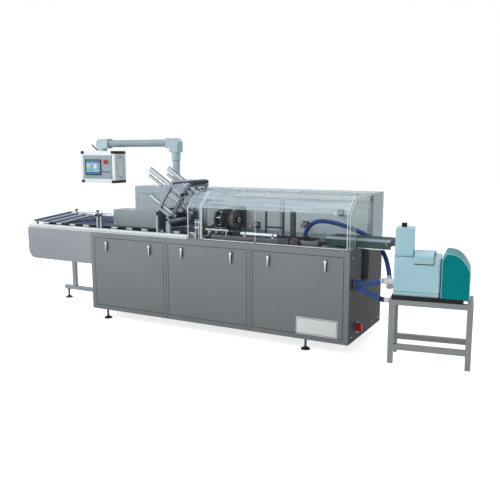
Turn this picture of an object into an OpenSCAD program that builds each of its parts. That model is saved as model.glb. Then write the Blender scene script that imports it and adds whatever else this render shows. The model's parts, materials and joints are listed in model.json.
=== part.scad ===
// Automatic cartoner: base cabinet, bucket infeed, carton magazine, guarded carton line,
// discharge belt, operator panel on a swing arm, and a hot-melt glue unit on its own stand.
// Sizes in millimetres. X runs along the machine, Y from the operator's side to the back, Z up.

/* [Base cabinet] */
// Length of the base cabinet
cabinet_l = 2580; // [2300:10:2800]
// Depth of the base cabinet
cabinet_w = 850; // [800:10:950]
// Height of the base cabinet with its worktop
cabinet_h = 740; // [700:10:800]
// Free height under the cabinet
foot_h = 100; // [80:5:130]
// Base plate diameter of a levelling foot
foot_d = 76; // [60:2:90]
// Rod diameter of a levelling foot
foot_rod_d = 20; // [16:1:26]
// Inset of the left feet from the cabinet's left end
foot_left = 130; // [80:10:200]
// Inset of the right feet from the cabinet's right end
foot_right = 380; // [200:10:450]
// Inset of the feet from the front and back
foot_side = 60; // [50:5:90]
// Doors along one side
door_count = 3; // [2:1:4]
// Thickness of a lift-off door
door_t = 20; // [14:1:30]
// Gap round a door
door_gap = 4; // [2:0.5:6]
// Frame width beside the outer doors
door_side = 45; // [30:5:70]
// Post width between two doors
door_post = 50; // [30:5:80]
// Frame height over the doors
door_top = 50; // [35:5:70]
// Frame height under the doors
door_foot = 40; // [25:5:60]
// Thickness of the worktop plate
table_t = 12; // [8:1:16]
// Width of a latch pull
latch_w = 24; // [18:1:30]
// Length of a latch pull
latch_l = 90; // [70:5:110]
// Reach of a latch pull out of the door
latch_reach = 18; // [14:1:24]
// Latch distance from the door's side edge
latch_in = 150; // [100:10:200]
// Latch distance below the door's top edge
latch_down = 28; // [20:2:45]
// Width of the slot in the right end
end_slot_w = 200; // [120:10:220]
// Height of the slot in the right end
end_slot_h = 280; // [200:10:320]
// Depth of the slot in the right end
end_slot_deep = 70; // [40:5:100]
// Diameter of the main switch
switch_d = 70; // [56:2:84]

/* [Infeed] */
// Length of the infeed beyond the cabinet
infeed_l = 830; // [760:10:900]
// Depth of the infeed trough
infeed_w = 620; // [600:10:660]
// Height of the infeed trough below the table
infeed_h = 310; // [290:5:340]
// Corner radius of the trough's free end
infeed_r = 90; // [60:5:120]
// Wall of the trough
trough_t = 5; // [3:0.5:8]
// Height of the bright front rail
rail_h = 36; // [28:1:44]
// Depth of the bright front rail
rail_w = 36; // [28:1:40]
// Height of the back guide over the table
back_guide_h = 90; // [70:5:110]
// Tube of the infeed leg
leg_tube = 40; // [30:2:50]
// Buckets on the whole chain
bucket_count = 23; // [20:1:24]
// Width of a bucket
bucket_w = 100; // [80:2:110]
// Height of a bucket
bucket_h = 40; // [32:2:46]
// Height of the upright front ends of the buckets and slats
bucket_end_h = 57; // [50:1:62]
// Sheet of a bucket
bucket_t = 3; // [2:0.5:4]
// Radius of the chain's inner face on its wheels
chain_r = 75; // [68:1:80]
// Depth of the chain links
chain_t = 20; // [16:1:22]
// Width of the chain
chain_w = 18; // [14:1:24]
// Length of the sloped product slide along the infeed
slide_w = 440; // [360:10:480]
// Length of the drive cover over the buckets
cover_l = 490; // [440:10:500]
// Depth of the drive cover
cover_w = 195; // [160:5:200]
// Height of the drive cover
cover_h = 155; // [120:5:170]
// Sheet of the drive cover
cover_t = 4; // [3:0.5:6]

/* [Pusher cabinet] */
// Depth of the tall cabinet at the back
pusher_w = 290; // [260:10:310]
// Height of the tall cabinet over the table
pusher_h = 410; // [380:10:450]
// Left end of the tall cabinet from the base cabinet's left end
pusher_x = 100; // [60:10:160]

/* [Operator panel] */
// Arm length between its two swivels
arm_l = 940; // [850:10:1000]
// Height of the arm's axis over the tall cabinet
arm_up = 425; // [400:5:450]
// Diameter of the arm and post tube
arm_d = 74; // [60:2:84]
// Width of the arm's elbows
elbow_w = 96; // [90:2:110]
// Post position from the tall cabinet's left end
post_x = 410; // [350:10:470]
// Width of the panel
panel_w = 460; // [400:10:500]
// Height of the panel
panel_h = 334; // [300:2:360]
// Depth of the panel
panel_d = 180; // [150:5:200]
// Width of a panel corner piece
corner_w = 46; // [36:2:56]
// Height of a panel corner piece
corner_h = 30; // [24:2:40]
// Screen bezel width
screen_w = 216; // [180:2:230]
// Screen bezel height
screen_h = 164; // [130:2:180]
// Diameter of the emergency stop button
stop_d = 44; // [36:2:50]

/* [Magazine] */
// Slope of the magazine's frame from level, in degrees
mag_tilt = 57; // [54:0.5:60]
// Foot of the frame from the cabinet's left end
mag_x = 880; // [860:5:900]
// Height of the frame's foot over the table
mag_up = 120; // [110:5:140]
// Width between the outer faces of the frame
mag_w = 330; // [300:5:350]
// Length of the frame's side bars
mag_l = 407; // [390:1:420]
// Distance between the two portals of the frame
mag_gap = 150; // [130:5:170]
// Length of the carton guide bars
mag_bar_l = 440; // [400:10:470]
// Side of the frame's bars
mag_bar = 24; // [18:1:28]

/* [Guards] */
// Left end of the guard from the cabinet's left end
guard_x = 1100; // [1090:5:1130]
// Split between the two guard doors
guard_split = 1760; // [1650:10:1850]
// Height of the guard's bend over the table
guard_bend = 280; // [260:5:300]
// Depth of the guard's sloped part
guard_slope = 138; // [110:2:160]
// Thickness of the clear panes
guard_t = 8; // [6:0.5:10]
// Distance of the guard's front from the cabinet's front
guard_in = 12; // [10:1:20]
// Running gap beside the guard doors
guard_gap = 6; // [5:0.5:10]
// Diameter of the guard's hinges
hinge_d = 16; // [12:1:18]
// Width of the carton exit
exit_w = 360; // [340:10:380]
// Height of the carton exit over the table
exit_h = 170; // [150:5:190]

/* [Carton line] */
// Length of the carton bed
bed_l = 990; // [900:10:1000]
// Distance of the bed's front rail from the cabinet's front
bed_y = 66; // [60:2:80]
// Distance between the bed's two rails
bed_w = 250; // [220:5:260]
// Height of the bed's rails
bed_h = 45; // [36:1:54]
// Pitch of the carton lugs
lug_pitch = 160; // [140:5:200]
// Diameter of the feeder wheel
wheel_d = 200; // [170:5:220]
// Rim width of the feeder wheel
wheel_w = 34; // [26:2:44]

/* [Discharge belt] */
// Length of the discharge belt beyond the cabinet
belt_out = 265; // [220:5:280]
// Width of the belt
belt_w = 190; // [160:5:200]
// Diameter of the belt on its end rollers
belt_d = 64; // [56:2:70]
// Height of the green side plates
belt_side = 55; // [45:1:60]

/* [Glue unit] */
// Gap from the cabinet to the stand
stand_off = 300; // [290:5:320]
// Turn of the glue unit about its stand's front left corner, in degrees
stand_turn = 9; // [0:1:12]
// Length of the stand
stand_l = 600; // [590:5:640]
// Depth of the stand
stand_w = 330; // [310:5:360]
// Height of the stand
stand_h = 495; // [480:1:500]
// Tube of the stand
stand_tube = 40; // [30:2:44]
// Height of the lower stand rails
stand_rail = 110; // [80:5:160]
// Thickness of the black tray
tray_t = 33; // [28:1:38]
// Width of the tank housing
tank_w = 335; // [320:5:350]
// Height of the tank housing
tank_h = 287; // [270:1:300]
// Width of the pump tower
tower_w = 135; // [120:5:140]
// Height of the pump tower
tower_h = 214; // [190:2:230]
// Width of the control cover
control_w = 200; // [190:2:208]
// Height of the control cover
control_h = 332; // [310:2:350]
// Diameter of the heated hoses
hose_d = 36; // [30:1:38]

/* [Hidden] */
$fn = 48;

// Faces that rest on each other across a joint stay this far apart
rest_gap = 0.5;
table_z = foot_h + cabinet_h;
body_top = table_z - table_t;
pusher_y = cabinet_w - pusher_w;
pusher_top = table_z + pusher_h;
leg_over = 50;
stand_x = cabinet_l + stand_off;
stand_y = 40;
// The part's origin is the middle of its footprint, on the floor
origin_x = (stand_x + stand_l * cos(stand_turn) - infeed_l - leg_over) / 2;
origin_y = cabinet_w / 2;

module placed() {
  translate([-origin_x, -origin_y, 0])
    children();
}

// The glue unit stands at a slight turn to the machine
function turned_at(p) = [
  stand_x + (p[0] - stand_x) * cos(stand_turn) - (p[1] - stand_y) * sin(stand_turn),
  stand_y + (p[0] - stand_x) * sin(stand_turn) + (p[1] - stand_y) * cos(stand_turn),
  p[2]
];

module turned() {
  placed()
    translate([stand_x, stand_y, 0])
      rotate([0, 0, stand_turn])
        translate([-stand_x, -stand_y, 0])
          children();
}

// Box between two opposite corners
module block(low, high) {
  translate(low)
    cube(high - low);
}

// Round bar between two heights, at x and y
module upright(x, y, z_low, z_high, d) {
  translate([x, y, z_low])
    cylinder(h = z_high - z_low, d = d);
}

// Round bar along X
module bar_x(x_low, x_high, y, z, d) {
  translate([x_low, y, z])
    rotate([0, 90, 0])
      cylinder(h = x_high - x_low, d = d);
}

// Round bar along Y
module bar_y(y_low, y_high, x, z, d) {
  translate([x, y_low, z])
    rotate([-90, 0, 0])
      cylinder(h = y_high - y_low, d = d);
}

// Profile in X and Z, extruded along Y
module extrude_y(y_low, y_high) {
  translate([0, y_high, 0])
    rotate([90, 0, 0])
      linear_extrude(y_high - y_low)
        children();
}

// Profile in Y and Z, extruded along X
module extrude_x(x_low, x_high) {
  translate([x_low, 0, 0])
    rotate([90, 0, 90])
      linear_extrude(x_high - x_low)
        children();
}

// Base cabinet
door_w = (cabinet_l - 2 * door_side - (door_count - 1) * door_post) / door_count;
door_z = foot_h + door_foot;
door_h = table_z - door_top - door_z;
function door_x(i) = door_side + i * (door_w + door_post);

// Lane of the buckets through the worktop
lane_y0 = rail_w + 34;
lane_y1 = pusher_y - 10;
chain_mid_z = table_z - chain_r - chain_t - 5;
chain_out = chain_r + chain_t;
bucket_reach = sqrt(pow(chain_out + bucket_end_h, 2) + pow(bucket_w / 2, 2));
chain_x0 = -infeed_l + trough_t + bucket_reach + 12;
chain_x1 = guard_x + 9;
lane_x1 = chain_x1 + bucket_reach + 12;
lane_floor = chain_mid_z - bucket_reach - 12;

end_slot_y = 280;
end_slot_z = body_top - end_slot_h;

module cabinet_housing() {
  color([0.55, 0.56, 0.56]) placed() difference() {
    block([0, 0, foot_h], [cabinet_l, cabinet_w, body_top]);
    for (i = [0 : door_count - 1])
      for (y = [-1, cabinet_w - door_t])
        translate([door_x(i), y, door_z])
          cube([door_w, door_t + 1, door_h]);
    block([-1, lane_y0, lane_floor], [lane_x1, lane_y1, body_top + 1]);
    block([cabinet_l - end_slot_deep, end_slot_y, end_slot_z],
          [cabinet_l + 1, end_slot_y + end_slot_w, body_top + 1]);
  }
}

module worktop() {
  color([0.62, 0.63, 0.64]) placed() difference() {
    block([0, 0, body_top], [cabinet_l, cabinet_w, table_z]);
    block([-1, lane_y0, body_top - 1], [lane_x1, lane_y1, table_z + 1]);
  }
}

// Lift-off door, flush in its recess
module door(i, y) {
  translate([door_x(i) + door_gap, y, door_z + door_gap])
    cube([door_w - 2 * door_gap, door_t, door_h - 2 * door_gap]);
}

module cabinet_doors() {
  color([0.58, 0.59, 0.59]) placed()
    for (i = [0 : door_count - 1])
      for (y = [0, cabinet_w - door_t])
        door(i, y);
}

// Latch: round boss on the door with a pull that hangs below it
module latch() {
  boss = latch_w;
  bar_y(-latch_reach / 2, 0, 0, 0, boss);
  extrude_y(-latch_reach, -latch_reach / 2) {
    circle(d = boss);
    translate([-latch_w * 0.32, -latch_l + boss / 2])
      square([latch_w * 0.64, latch_l - boss / 2]);
  }
}

module door_latches() {
  latch_z = table_z - door_top - door_gap - latch_down - latch_w / 2;
  color([0.85, 0.86, 0.87]) placed()
    for (i = [0 : door_count - 1])
      for (x = [door_x(i) + latch_in, door_x(i) + door_w - latch_in]) {
        translate([x, 0, latch_z])
          latch();
        translate([x, cabinet_w, latch_z])
          rotate(180)
            latch();
      }
}

// Foot: base disc with a cone, threaded rod and lock nut
module foot(x, y) {
  rim = 8;
  cone = 14;
  nut = 14;
  translate([x, y, 0]) {
    rotate_extrude()
      polygon([[0, 0], [foot_d / 2, 0], [foot_d / 2, rim], [foot_rod_d * 0.8, rim + cone],
               [foot_rod_d / 2, rim + cone], [foot_rod_d / 2, foot_h], [0, foot_h]]);
    translate([0, 0, foot_h - nut])
      cylinder(h = nut, d = foot_rod_d * 1.8, $fn = 6);
  }
}

tie_x0 = -infeed_l - leg_over;
tie_y = infeed_w - 80;
tie_foot = 40;

module levelling_feet() {
  color([0.35, 0.36, 0.37]) placed() {
    for (x = [foot_left, cabinet_l - foot_right])
      for (y = [foot_side, cabinet_w - foot_side])
        foot(x, y);
    foot(tie_x0 + tie_foot, tie_y);
  }
}

// Main switch low on the right end: square plate and a turned grip
module main_switch() {
  plate = switch_d * 0.9;
  plate_t = 8;
  grip = 34;
  switch_y = 205;
  switch_z = foot_h + 100;
  color([0.8, 0.08, 0.1]) placed() translate([cabinet_l, switch_y, switch_z]) {
    block([0, -plate / 2, -plate / 2], [plate_t, plate / 2, plate / 2]);
    bar_x(plate_t, plate_t + grip / 2, 0, 0, switch_d);
    block([plate_t + grip / 2, -switch_d / 7, -switch_d / 2.2],
          [plate_t + grip, switch_d / 7, switch_d / 2.2]);
  }
}

// Infeed trough: a sheet tray with a rounded end, open to the cabinet
module trough_outline(inset) {
  x0 = -infeed_l + inset;
  z0 = table_z - infeed_h + inset;
  r = infeed_r - inset;
  translate([x0 + r, z0 + r])
    circle(r);
  translate([x0 + r, z0])
    square([-x0 - r, infeed_h + 1 - inset]);
  translate([x0, z0 + r])
    square([r + 1, infeed_h + 1 - inset - r]);
}

module infeed_trough() {
  color([0.6, 0.61, 0.62]) placed() difference() {
    intersection() {
      extrude_y(0, infeed_w)
        trough_outline(0);
      block([-infeed_l, 0, 0], [0, infeed_w, table_z]);
    }
    extrude_y(trough_t, infeed_w - trough_t) {
      trough_outline(trough_t);
      translate([-1, table_z - infeed_h + trough_t])
        square([2, infeed_h]);
    }
  }
}

leg_x = -infeed_l + 90;

// Leg under the trough, on a tie bar to the cabinet
module infeed_leg() {
  color([0.66, 0.67, 0.68]) placed() {
    block([leg_x - leg_tube / 2, tie_y - leg_tube / 2, foot_h + leg_tube / 2],
          [leg_x + leg_tube / 2, tie_y + leg_tube / 2, table_z - infeed_h]);
    block([tie_x0, tie_y - leg_tube / 2, foot_h], [0, tie_y + leg_tube / 2, foot_h + leg_tube]);
  }
}

// Bright rail along the operator's edge of the bucket lane
rail_x1 = guard_x - 4;

module front_rail() {
  lip = 6;
  color([0.88, 0.89, 0.9]) placed() extrude_x(-infeed_l + 20, rail_x1)
    polygon([[0, table_z], [rail_w, table_z], [rail_w, table_z + rail_h],
             [lip, table_z + rail_h], [0, table_z + rail_h - lip]]);
}

// Raised guide on the back wall of the trough
back_x0 = -infeed_l + 20;
back_x1 = -30;

back_flange = 26;

module back_guide() {
  color([0.6, 0.63, 0.68]) placed() extrude_x(back_x0, back_x1)
    polygon([[infeed_w - trough_t, table_z], [infeed_w, table_z],
             [infeed_w, table_z + back_guide_h], [infeed_w - back_flange, table_z + back_guide_h],
             [infeed_w - back_flange, table_z + back_guide_h - trough_t],
             [infeed_w - trough_t, table_z + back_guide_h - trough_t]]);
}

// Product slide over the end of the lane: a ribbed sheet that rises to the back guide
module infeed_slide() {
  sheet = 4;
  rib_h = 18;
  rib_t = 7;
  ribs = 4;
  foot_w = 30;
  front_y = bucket_y0 + 4;
  front_z = chain_mid_z + sqrt(pow(chain_out + bucket_h, 2) + pow(bucket_w / 2, 2)) + 4;
  step = (slide_w - rib_t) / (ribs - 1);
  run = infeed_w - back_flange - front_y;
  rise = table_z + back_guide_h + rest_gap - front_z;
  left_l = run + 20;
  right_l = run * 0.8;
  function rib_l(i) = left_l + (right_l - left_l) * i / (ribs - 1);
  color([0.62, 0.68, 0.78]) placed() {
    translate([-infeed_l, front_y, front_z])
      rotate([atan2(rise, run), 0, 0]) {
        linear_extrude(sheet)
          polygon([[0, 0], [slide_w, 0], [slide_w, right_l], [0, left_l]]);
        for (i = [0 : ribs - 1])
          translate([i * step, 0, 0])
            cube([rib_t, rib_l(i), rib_h]);
      }
    for (y = [front_y + foot_w, front_y + run - 2 * foot_w])
      block([-infeed_l, y, table_z + rest_gap],
            [-infeed_l + trough_t, y + foot_w, front_z + (y - front_y) * rise / run + sheet / 2]);
  }
}

// Clamp block with a rod and a knob behind the back guide
clamp_size = 30;
clamp_rod = 12;

module guide_clamp(x) {
  size = clamp_size;
  rod_d = clamp_rod;
  rod_l = 110;
  knob_h = 30;
  knob_d = 22;
  z = table_z + back_guide_h - size;
  block([x - size / 2, infeed_w, z], [x + size / 2, infeed_w + size, z + size]);
  bar_y(infeed_w + size, infeed_w + size + rod_l, x, z + size / 2, rod_d);
  upright(x, infeed_w + size / 2, z + size, z + size + knob_h, knob_d);
}

strip_y0 = rail_w + 6;
strip_y1 = lane_y0 - 4;

// Upright plate on the table strip between the front rail and the lane
module strip_plate(x, thick, high) {
  block([x, strip_y0, table_z], [x + thick, strip_y1, table_z + high]);
}

module guide_brackets() {
  portal_x = 40;
  portal_h = 178;
  portal_gap = 45;
  plate = 16;
  rod_y = (strip_y0 + strip_y1) / 2;
  rod_z = table_z + portal_h - 22;
  stop_h = 185;
  clamp_x = -infeed_l + 60;
  clamp_pitch = 300;
  color([0.8, 0.82, 0.84]) placed() {
    for (x = [clamp_x, clamp_x + clamp_pitch])
      guide_clamp(x);
    bar_x(clamp_x - 80, clamp_x + clamp_pitch + 200, infeed_w + clamp_size / 2,
          table_z + back_guide_h + clamp_rod, clamp_rod);
    for (x = [portal_x, portal_x + portal_gap])
      strip_plate(x, plate, portal_h);
    bar_x(portal_x - 60, cover_x - rest_gap, rod_y, rod_z, clamp_rod);
    strip_plate(cover_x + cover_l + rest_gap, plate, stop_h);
  }
}

// Bucket chain round its two pairs of wheels
module stadium(x0, x1, z, r) {
  translate([x0, z])
    circle(r);
  translate([x1, z])
    circle(r);
  translate([x0, z - r])
    square([x1 - x0, 2 * r]);
}

chain_in = 70;
chain_ys = [lane_y0 + chain_in, lane_y1 - chain_in - chain_w];

module bucket_chain() {
  color([0.3, 0.31, 0.33]) placed()
    for (y = chain_ys)
      extrude_y(y, y + chain_w)
        difference() {
          stadium(chain_x0, chain_x1, chain_mid_z, chain_out);
          stadium(chain_x0, chain_x1, chain_mid_z, chain_r);
        }
}

// Two wheels on one shaft, drilled to save weight
module wheel_shaft(x, y_low, y_high) {
  shaft_d = 30;
  holes = 6;
  difference() {
    union() {
      bar_y(y_low, y_high, x, chain_mid_z, shaft_d);
      for (y = chain_ys)
        bar_y(y, y + chain_w, x, chain_mid_z, 2 * (chain_r - rest_gap));
    }
    for (i = [0 : holes - 1])
      translate([x, 0, chain_mid_z])
        rotate([0, i * 360 / holes, 0])
          bar_y(y_low - 1, y_high + 1, chain_r * 0.62, 0, chain_r * 0.36);
  }
}

module chain_wheels() {
  color([0.45, 0.46, 0.48]) placed() {
    wheel_shaft(chain_x0, trough_t, infeed_w - trough_t);
    wheel_shaft(chain_x1, lane_y0, lane_y1);
  }
}

// Buckets: flared sheet channels that lie across the two chains
chain_line_r = chain_r + chain_t / 2;
chain_straight = chain_x1 - chain_x0;
chain_turn = PI * chain_line_r;
bucket_pitch = 2 * (chain_straight + chain_turn) / bucket_count;
bucket_y0 = lane_y0 + 10;
bucket_y1 = lane_y1 - 10;

module bucket() {
  top = bucket_w / 2;
  foot = top - 8;
  translate([0, 0, chain_out + rest_gap / 2])
    extrude_y(bucket_y0, bucket_y1)
      polygon([[-foot, 0], [foot, 0], [top, bucket_h], [top - bucket_t, bucket_h],
               [foot - bucket_t, bucket_t], [bucket_t - foot, bucket_t],
               [bucket_t - top, bucket_h], [-top, bucket_h]]);
}

// Black block that closes the front end of a bucket
end_y0 = lane_y0 + 2;

module bucket_end() {
  half = bucket_w * 0.45;
  translate([0, 0, chain_out + rest_gap / 2])
    block([-half, end_y0, 0], [half, bucket_y0 - rest_gap, bucket_end_h]);
}

// Flat slat between two buckets, turned up at its front end
module slat() {
  half = (bucket_pitch - bucket_w) / 2 - 4;
  drop = 3;
  translate([0, 0, chain_out + rest_gap / 2]) {
    block([-half, end_y0, 0], [half, bucket_y1, bucket_t]);
    block([-half, end_y0, 0], [half, bucket_y0 - rest_gap, bucket_end_h - drop]);
  }
}

// Turn of a bucket about its chain wheel, and the wheel's place, at a distance along the chain
function run_turn(s) =
  s < chain_straight ? 0
  : s < chain_straight + chain_turn ? 180 * (s - chain_straight) / chain_turn
  : s < 2 * chain_straight + chain_turn ? 180
  : 180 + 180 * (s - 2 * chain_straight - chain_turn) / chain_turn;
function run_x(s) =
  s < chain_straight ? chain_x0 + s
  : s < chain_straight + chain_turn ? chain_x1
  : s < 2 * chain_straight + chain_turn ? chain_x1 - (s - chain_straight - chain_turn)
  : chain_x0;

// One copy at each pitch of the chain, shifted along it by a share of the pitch
module along_chain(share) {
  for (i = [0 : bucket_count - 1])
    translate([run_x((i + share) * bucket_pitch), 0, chain_mid_z])
      rotate([0, run_turn((i + share) * bucket_pitch), 0])
        children();
}

module buckets() {
  color([0.5, 0.55, 0.63]) placed()
    along_chain(0.5)
      bucket();
}

module bucket_ends() {
  color([0.06, 0.06, 0.07]) placed()
    along_chain(0.5)
      bucket_end();
}

module lane_slats() {
  color([0.86, 0.87, 0.88]) placed()
    along_chain(0)
      slat();
}

// Hood over the front of the bucket lane, between its end plate and the rod of the left posts
cover_x = 250;
cover_y = strip_y0 + 2;
cover_z = table_z + bucket_end_h + 6;

module drive_cover() {
  color([0.6, 0.62, 0.63]) placed() difference() {
    block([cover_x, cover_y, cover_z], [cover_x + cover_l, cover_y + cover_w, cover_z + cover_h]);
    block([cover_x + cover_t, cover_y + cover_t, cover_z - 1],
          [cover_x + cover_l - cover_t, cover_y + cover_w - cover_t, cover_z + cover_h - cover_t]);
  }
}

// Tall cabinet with flush panels front and back
pusher_count = 3;
pusher_frame = 40;
pusher_head = 70;
pusher_sheet = 8;
pusher_panel_w = (cabinet_l - pusher_x - (pusher_count + 1) * pusher_frame) / pusher_count;
pusher_panel_h = pusher_h - pusher_head - pusher_frame;
function pusher_panel_x(i) = pusher_x + pusher_frame + i * (pusher_panel_w + pusher_frame);

module pusher_cabinet() {
  color([0.72, 0.75, 0.77]) placed() difference() {
    block([pusher_x, pusher_y, table_z], [cabinet_l, cabinet_w, pusher_top]);
    for (i = [0 : pusher_count - 1])
      for (y = [pusher_y - 1, cabinet_w - pusher_sheet])
        translate([pusher_panel_x(i), y, table_z + pusher_frame])
          cube([pusher_panel_w, pusher_sheet + 1, pusher_panel_h]);
  }
}

module pusher_panels() {
  color([0.7, 0.74, 0.74]) placed()
    for (i = [0 : pusher_count - 1])
      for (y = [pusher_y, cabinet_w - pusher_sheet])
        translate([pusher_panel_x(i) + door_gap, y, table_z + pusher_frame + door_gap])
          cube([pusher_panel_w - 2 * door_gap, pusher_sheet, pusher_panel_h - 2 * door_gap]);
}

// Post and swing arm of the operator panel
post_px = pusher_x + post_x;
post_py = pusher_y + pusher_w / 2;
arm_z = pusher_top + arm_up;
post_drop = 90;
collar_l = 78;
spigot_d = 50;
spigot_l = 36;
spigot_gap = 0.1;
elbow_reach = 95;
neck_drop = 50;
neck_h = 26;
panel_top = arm_z - neck_drop - rest_gap - neck_h;

module arm_post() {
  flange_t = 12;
  collar_z = arm_z - post_drop - rest_gap;
  color([0.7, 0.76, 0.76]) placed() translate([post_px, post_py, 0]) {
    upright(0, 0, pusher_top, pusher_top + flange_t, arm_d + 56);
    upright(0, 0, pusher_top, collar_z, arm_d);
    upright(0, 0, collar_z - collar_l, collar_z, arm_d + 16);
    upright(0, 0, collar_z, collar_z + spigot_l, spigot_d);
  }
}

// Square elbow with a cut corner: its mouth points to -X, its foot down
module elbow(drop) {
  half = elbow_w / 2;
  cut = elbow_w * 0.36;
  lip = 14;
  difference() {
    union() {
      extrude_y(-half, half)
        polygon([[half, -drop], [half, half - cut], [half - cut, half], [-elbow_reach, half],
                 [-elbow_reach, -half], [-half, -half], [-half, -drop]]);
      bar_x(-elbow_reach - lip, -elbow_reach, 0, 0, elbow_w + 6);
    }
    upright(0, 0, -drop - 1, -drop + spigot_l + 4, spigot_d + 2 * spigot_gap);
  }
}

module swing_arm() {
  color([0.72, 0.78, 0.78]) placed() translate([post_px, post_py, arm_z]) {
    elbow(post_drop);
    bar_x(-arm_l + elbow_reach, -elbow_reach, 0, 0, arm_d);
    translate([-arm_l, 0, 0])
      mirror([1, 0, 0])
        elbow(neck_drop);
  }
}

// Clamp lever on the panel's neck
module clamp_lever() {
  boss_d = 14;
  boss_l = 32;
  lever_l = 85;
  lever_d = 13;
  lever_lean = -52;
  color([0.08, 0.08, 0.08]) at_panel()
    translate([-elbow_w / 2 - rest_gap, 0, neck_h / 2]) {
      bar_x(-boss_l, 0, 0, 0, boss_d);
      translate([-boss_l, 0, 0])
        rotate([0, lever_lean, 0])
          upright(0, 0, 0, lever_l, lever_d);
    }
}

module at_panel() {
  placed()
    translate([post_px - arm_l, post_py, panel_top])
      children();
}

module panel_neck() {
  color([0.72, 0.78, 0.78]) at_panel() {
    upright(0, 0, 0, neck_h, elbow_w);
    upright(0, 0, neck_h, neck_h + spigot_l, spigot_d);
  }
}

// Panel housing: an aluminium body with its four corners cut out for the corner pieces
module panel_box() {
  color([0.9, 0.91, 0.92]) at_panel() extrude_y(-panel_d / 2, panel_d / 2)
    difference() {
      translate([-panel_w / 2, -panel_h])
        square([panel_w, panel_h]);
      for (x = [-panel_w / 2 - 1, panel_w / 2 - corner_w])
        for (z = [-panel_h - 1, -corner_h])
          translate([x, z])
            square([corner_w + 1, corner_h + 1]);
    }
}

module panel_corners() {
  cut = 10;
  color([0.12, 0.13, 0.15]) at_panel()
    for (side = [0, 1])
      for (end = [0, 1])
        mirror([side, 0, 0])
          translate([-panel_w / 2, 0, -panel_h * end])
            mirror([0, 0, end])
              extrude_y(-panel_d / 2, panel_d / 2)
                polygon([[0, -corner_h], [corner_w, -corner_h], [corner_w, 0], [cut, 0], [0, -cut]]);
}

face_t = 3;
face_top = 50;
face_front = -panel_d / 2 - face_t;
face_half = panel_w / 2 - 40;
screen_x = -face_half + 26;
screen_z = -face_top - 38;
screen_t = 6;

module panel_face() {
  color([0.66, 0.7, 0.74]) at_panel()
    block([-face_half, face_front, -panel_h + face_top], [face_half, face_front + face_t, -face_top]);
}

// Touch screen: bezel with a sunk display
module panel_screen() {
  bezel = 14;
  color([0.08, 0.09, 0.1]) at_panel() difference() {
    block([screen_x, face_front - screen_t, screen_z - screen_h],
          [screen_x + screen_w, face_front, screen_z]);
    block([screen_x + bezel, face_front - screen_t - 1, screen_z - screen_h + bezel],
          [screen_x + screen_w - bezel, face_front - screen_t / 2, screen_z - bezel]);
  }
}

screen_end = screen_x + screen_w;
button_strip = face_half - screen_end;
stop_x = screen_end + button_strip / 2;
stop_z = screen_z - 24;

// Mushroom button, turned about its axis
module emergency_stop() {
  neck_l = 16;
  cap = 14;
  color([0.8, 0.08, 0.1]) at_panel() translate([stop_x, face_front, stop_z])
    rotate([90, 0, 0])
      rotate_extrude()
        polygon([[0, 0], [stop_d * 0.3, 0], [stop_d * 0.3, neck_l], [stop_d / 2, neck_l],
                 [stop_d / 2, neck_l + cap * 0.6], [stop_d * 0.3, neck_l + cap], [0, neck_l + cap]]);
}

module panel_buttons() {
  button_d = 24;
  button_l = 10;
  button_pitch = button_strip / 3.6;
  color([0.3, 0.4, 0.35]) at_panel()
    for (i = [-1 : 1])
      bar_y(face_front - button_l, face_front, stop_x + i * button_pitch, screen_z - screen_h * 0.76,
            button_d);
}

// Bow handles on both sides of the panel
handle_out = 55;
handle_t = 20;
handle_w = 24;
handle_top = 52;

module panel_handles() {
  color([0.82, 0.84, 0.86]) at_panel()
    for (side = [0, 1])
      mirror([side, 0, 0])
        translate([-panel_w / 2 - handle_out, 0, -panel_h + handle_top])
          extrude_y(-handle_w / 2, handle_w / 2)
            difference() {
              square([handle_out, panel_h - 2 * handle_top]);
              translate([handle_t, handle_t])
                square([handle_out, panel_h - 2 * handle_top - 2 * handle_t]);
            }
}

// Carton magazine: two tilted portals, stood on the table and braced to the tall cabinet
mag_z = table_z + mag_up;
upper_low = 20;
upper_l = 320;

module tilted() {
  translate([mag_x, strip_y0, mag_z])
    rotate([0, -mag_tilt, 0])
      children();
}

// Portal across the magazine, from one place up the slope to another
module portal(low, high, step) {
  for (y = [0, mag_w - mag_bar])
    block([low, y, step], [high, y + mag_bar, step + mag_bar]);
  for (x = [low, high - mag_bar])
    block([x, 0, step], [x + mag_bar, mag_w, step + mag_bar]);
}

module magazine_frame() {
  foot_half = 22;
  brace_x = 180;
  color([0.62, 0.66, 0.7]) placed() {
    tilted() {
      portal(0, mag_l, 0);
      portal(upper_low, upper_low + upper_l, mag_gap);
      for (y = [0, mag_w - mag_bar])
        for (x = [upper_low + mag_bar, upper_low + upper_l - 2 * mag_bar])
          block([x, y, 0], [x + mag_bar, y + mag_bar, mag_gap + mag_bar]);
      block([brace_x, mag_w - mag_bar, 0],
            [brace_x + 2 * mag_bar, pusher_y - strip_y0 - rest_gap, mag_bar]);
    }
    difference() {
      block([mag_x - mag_bar * 0.42 - foot_half, strip_y0, table_z],
            [mag_x - mag_bar * 0.42 + foot_half, strip_y0 + mag_bar, mag_z + mag_bar * 2]);
      tilted()
        block([0, -mag_bar, -4 * mag_bar], [mag_l, 2 * mag_bar, 6 * mag_bar]);
    }
  }
}

// Guide bars along the stack: place up the slope, width and length of each pair
guide_t = 8;
guides = [[268, 34, mag_bar_l], [226, 16, mag_bar_l - 20], [70, 30, mag_bar_l - 130]];

module magazine_bars() {
  lead = 12;
  color([0.82, 0.84, 0.86]) placed() tilted()
    for (g = guides)
      for (y = [mag_bar, mag_w - mag_bar - guide_t])
        block([g[0], y, -lead], [g[0] + g[1], y + guide_t, g[2]]);
}

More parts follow.
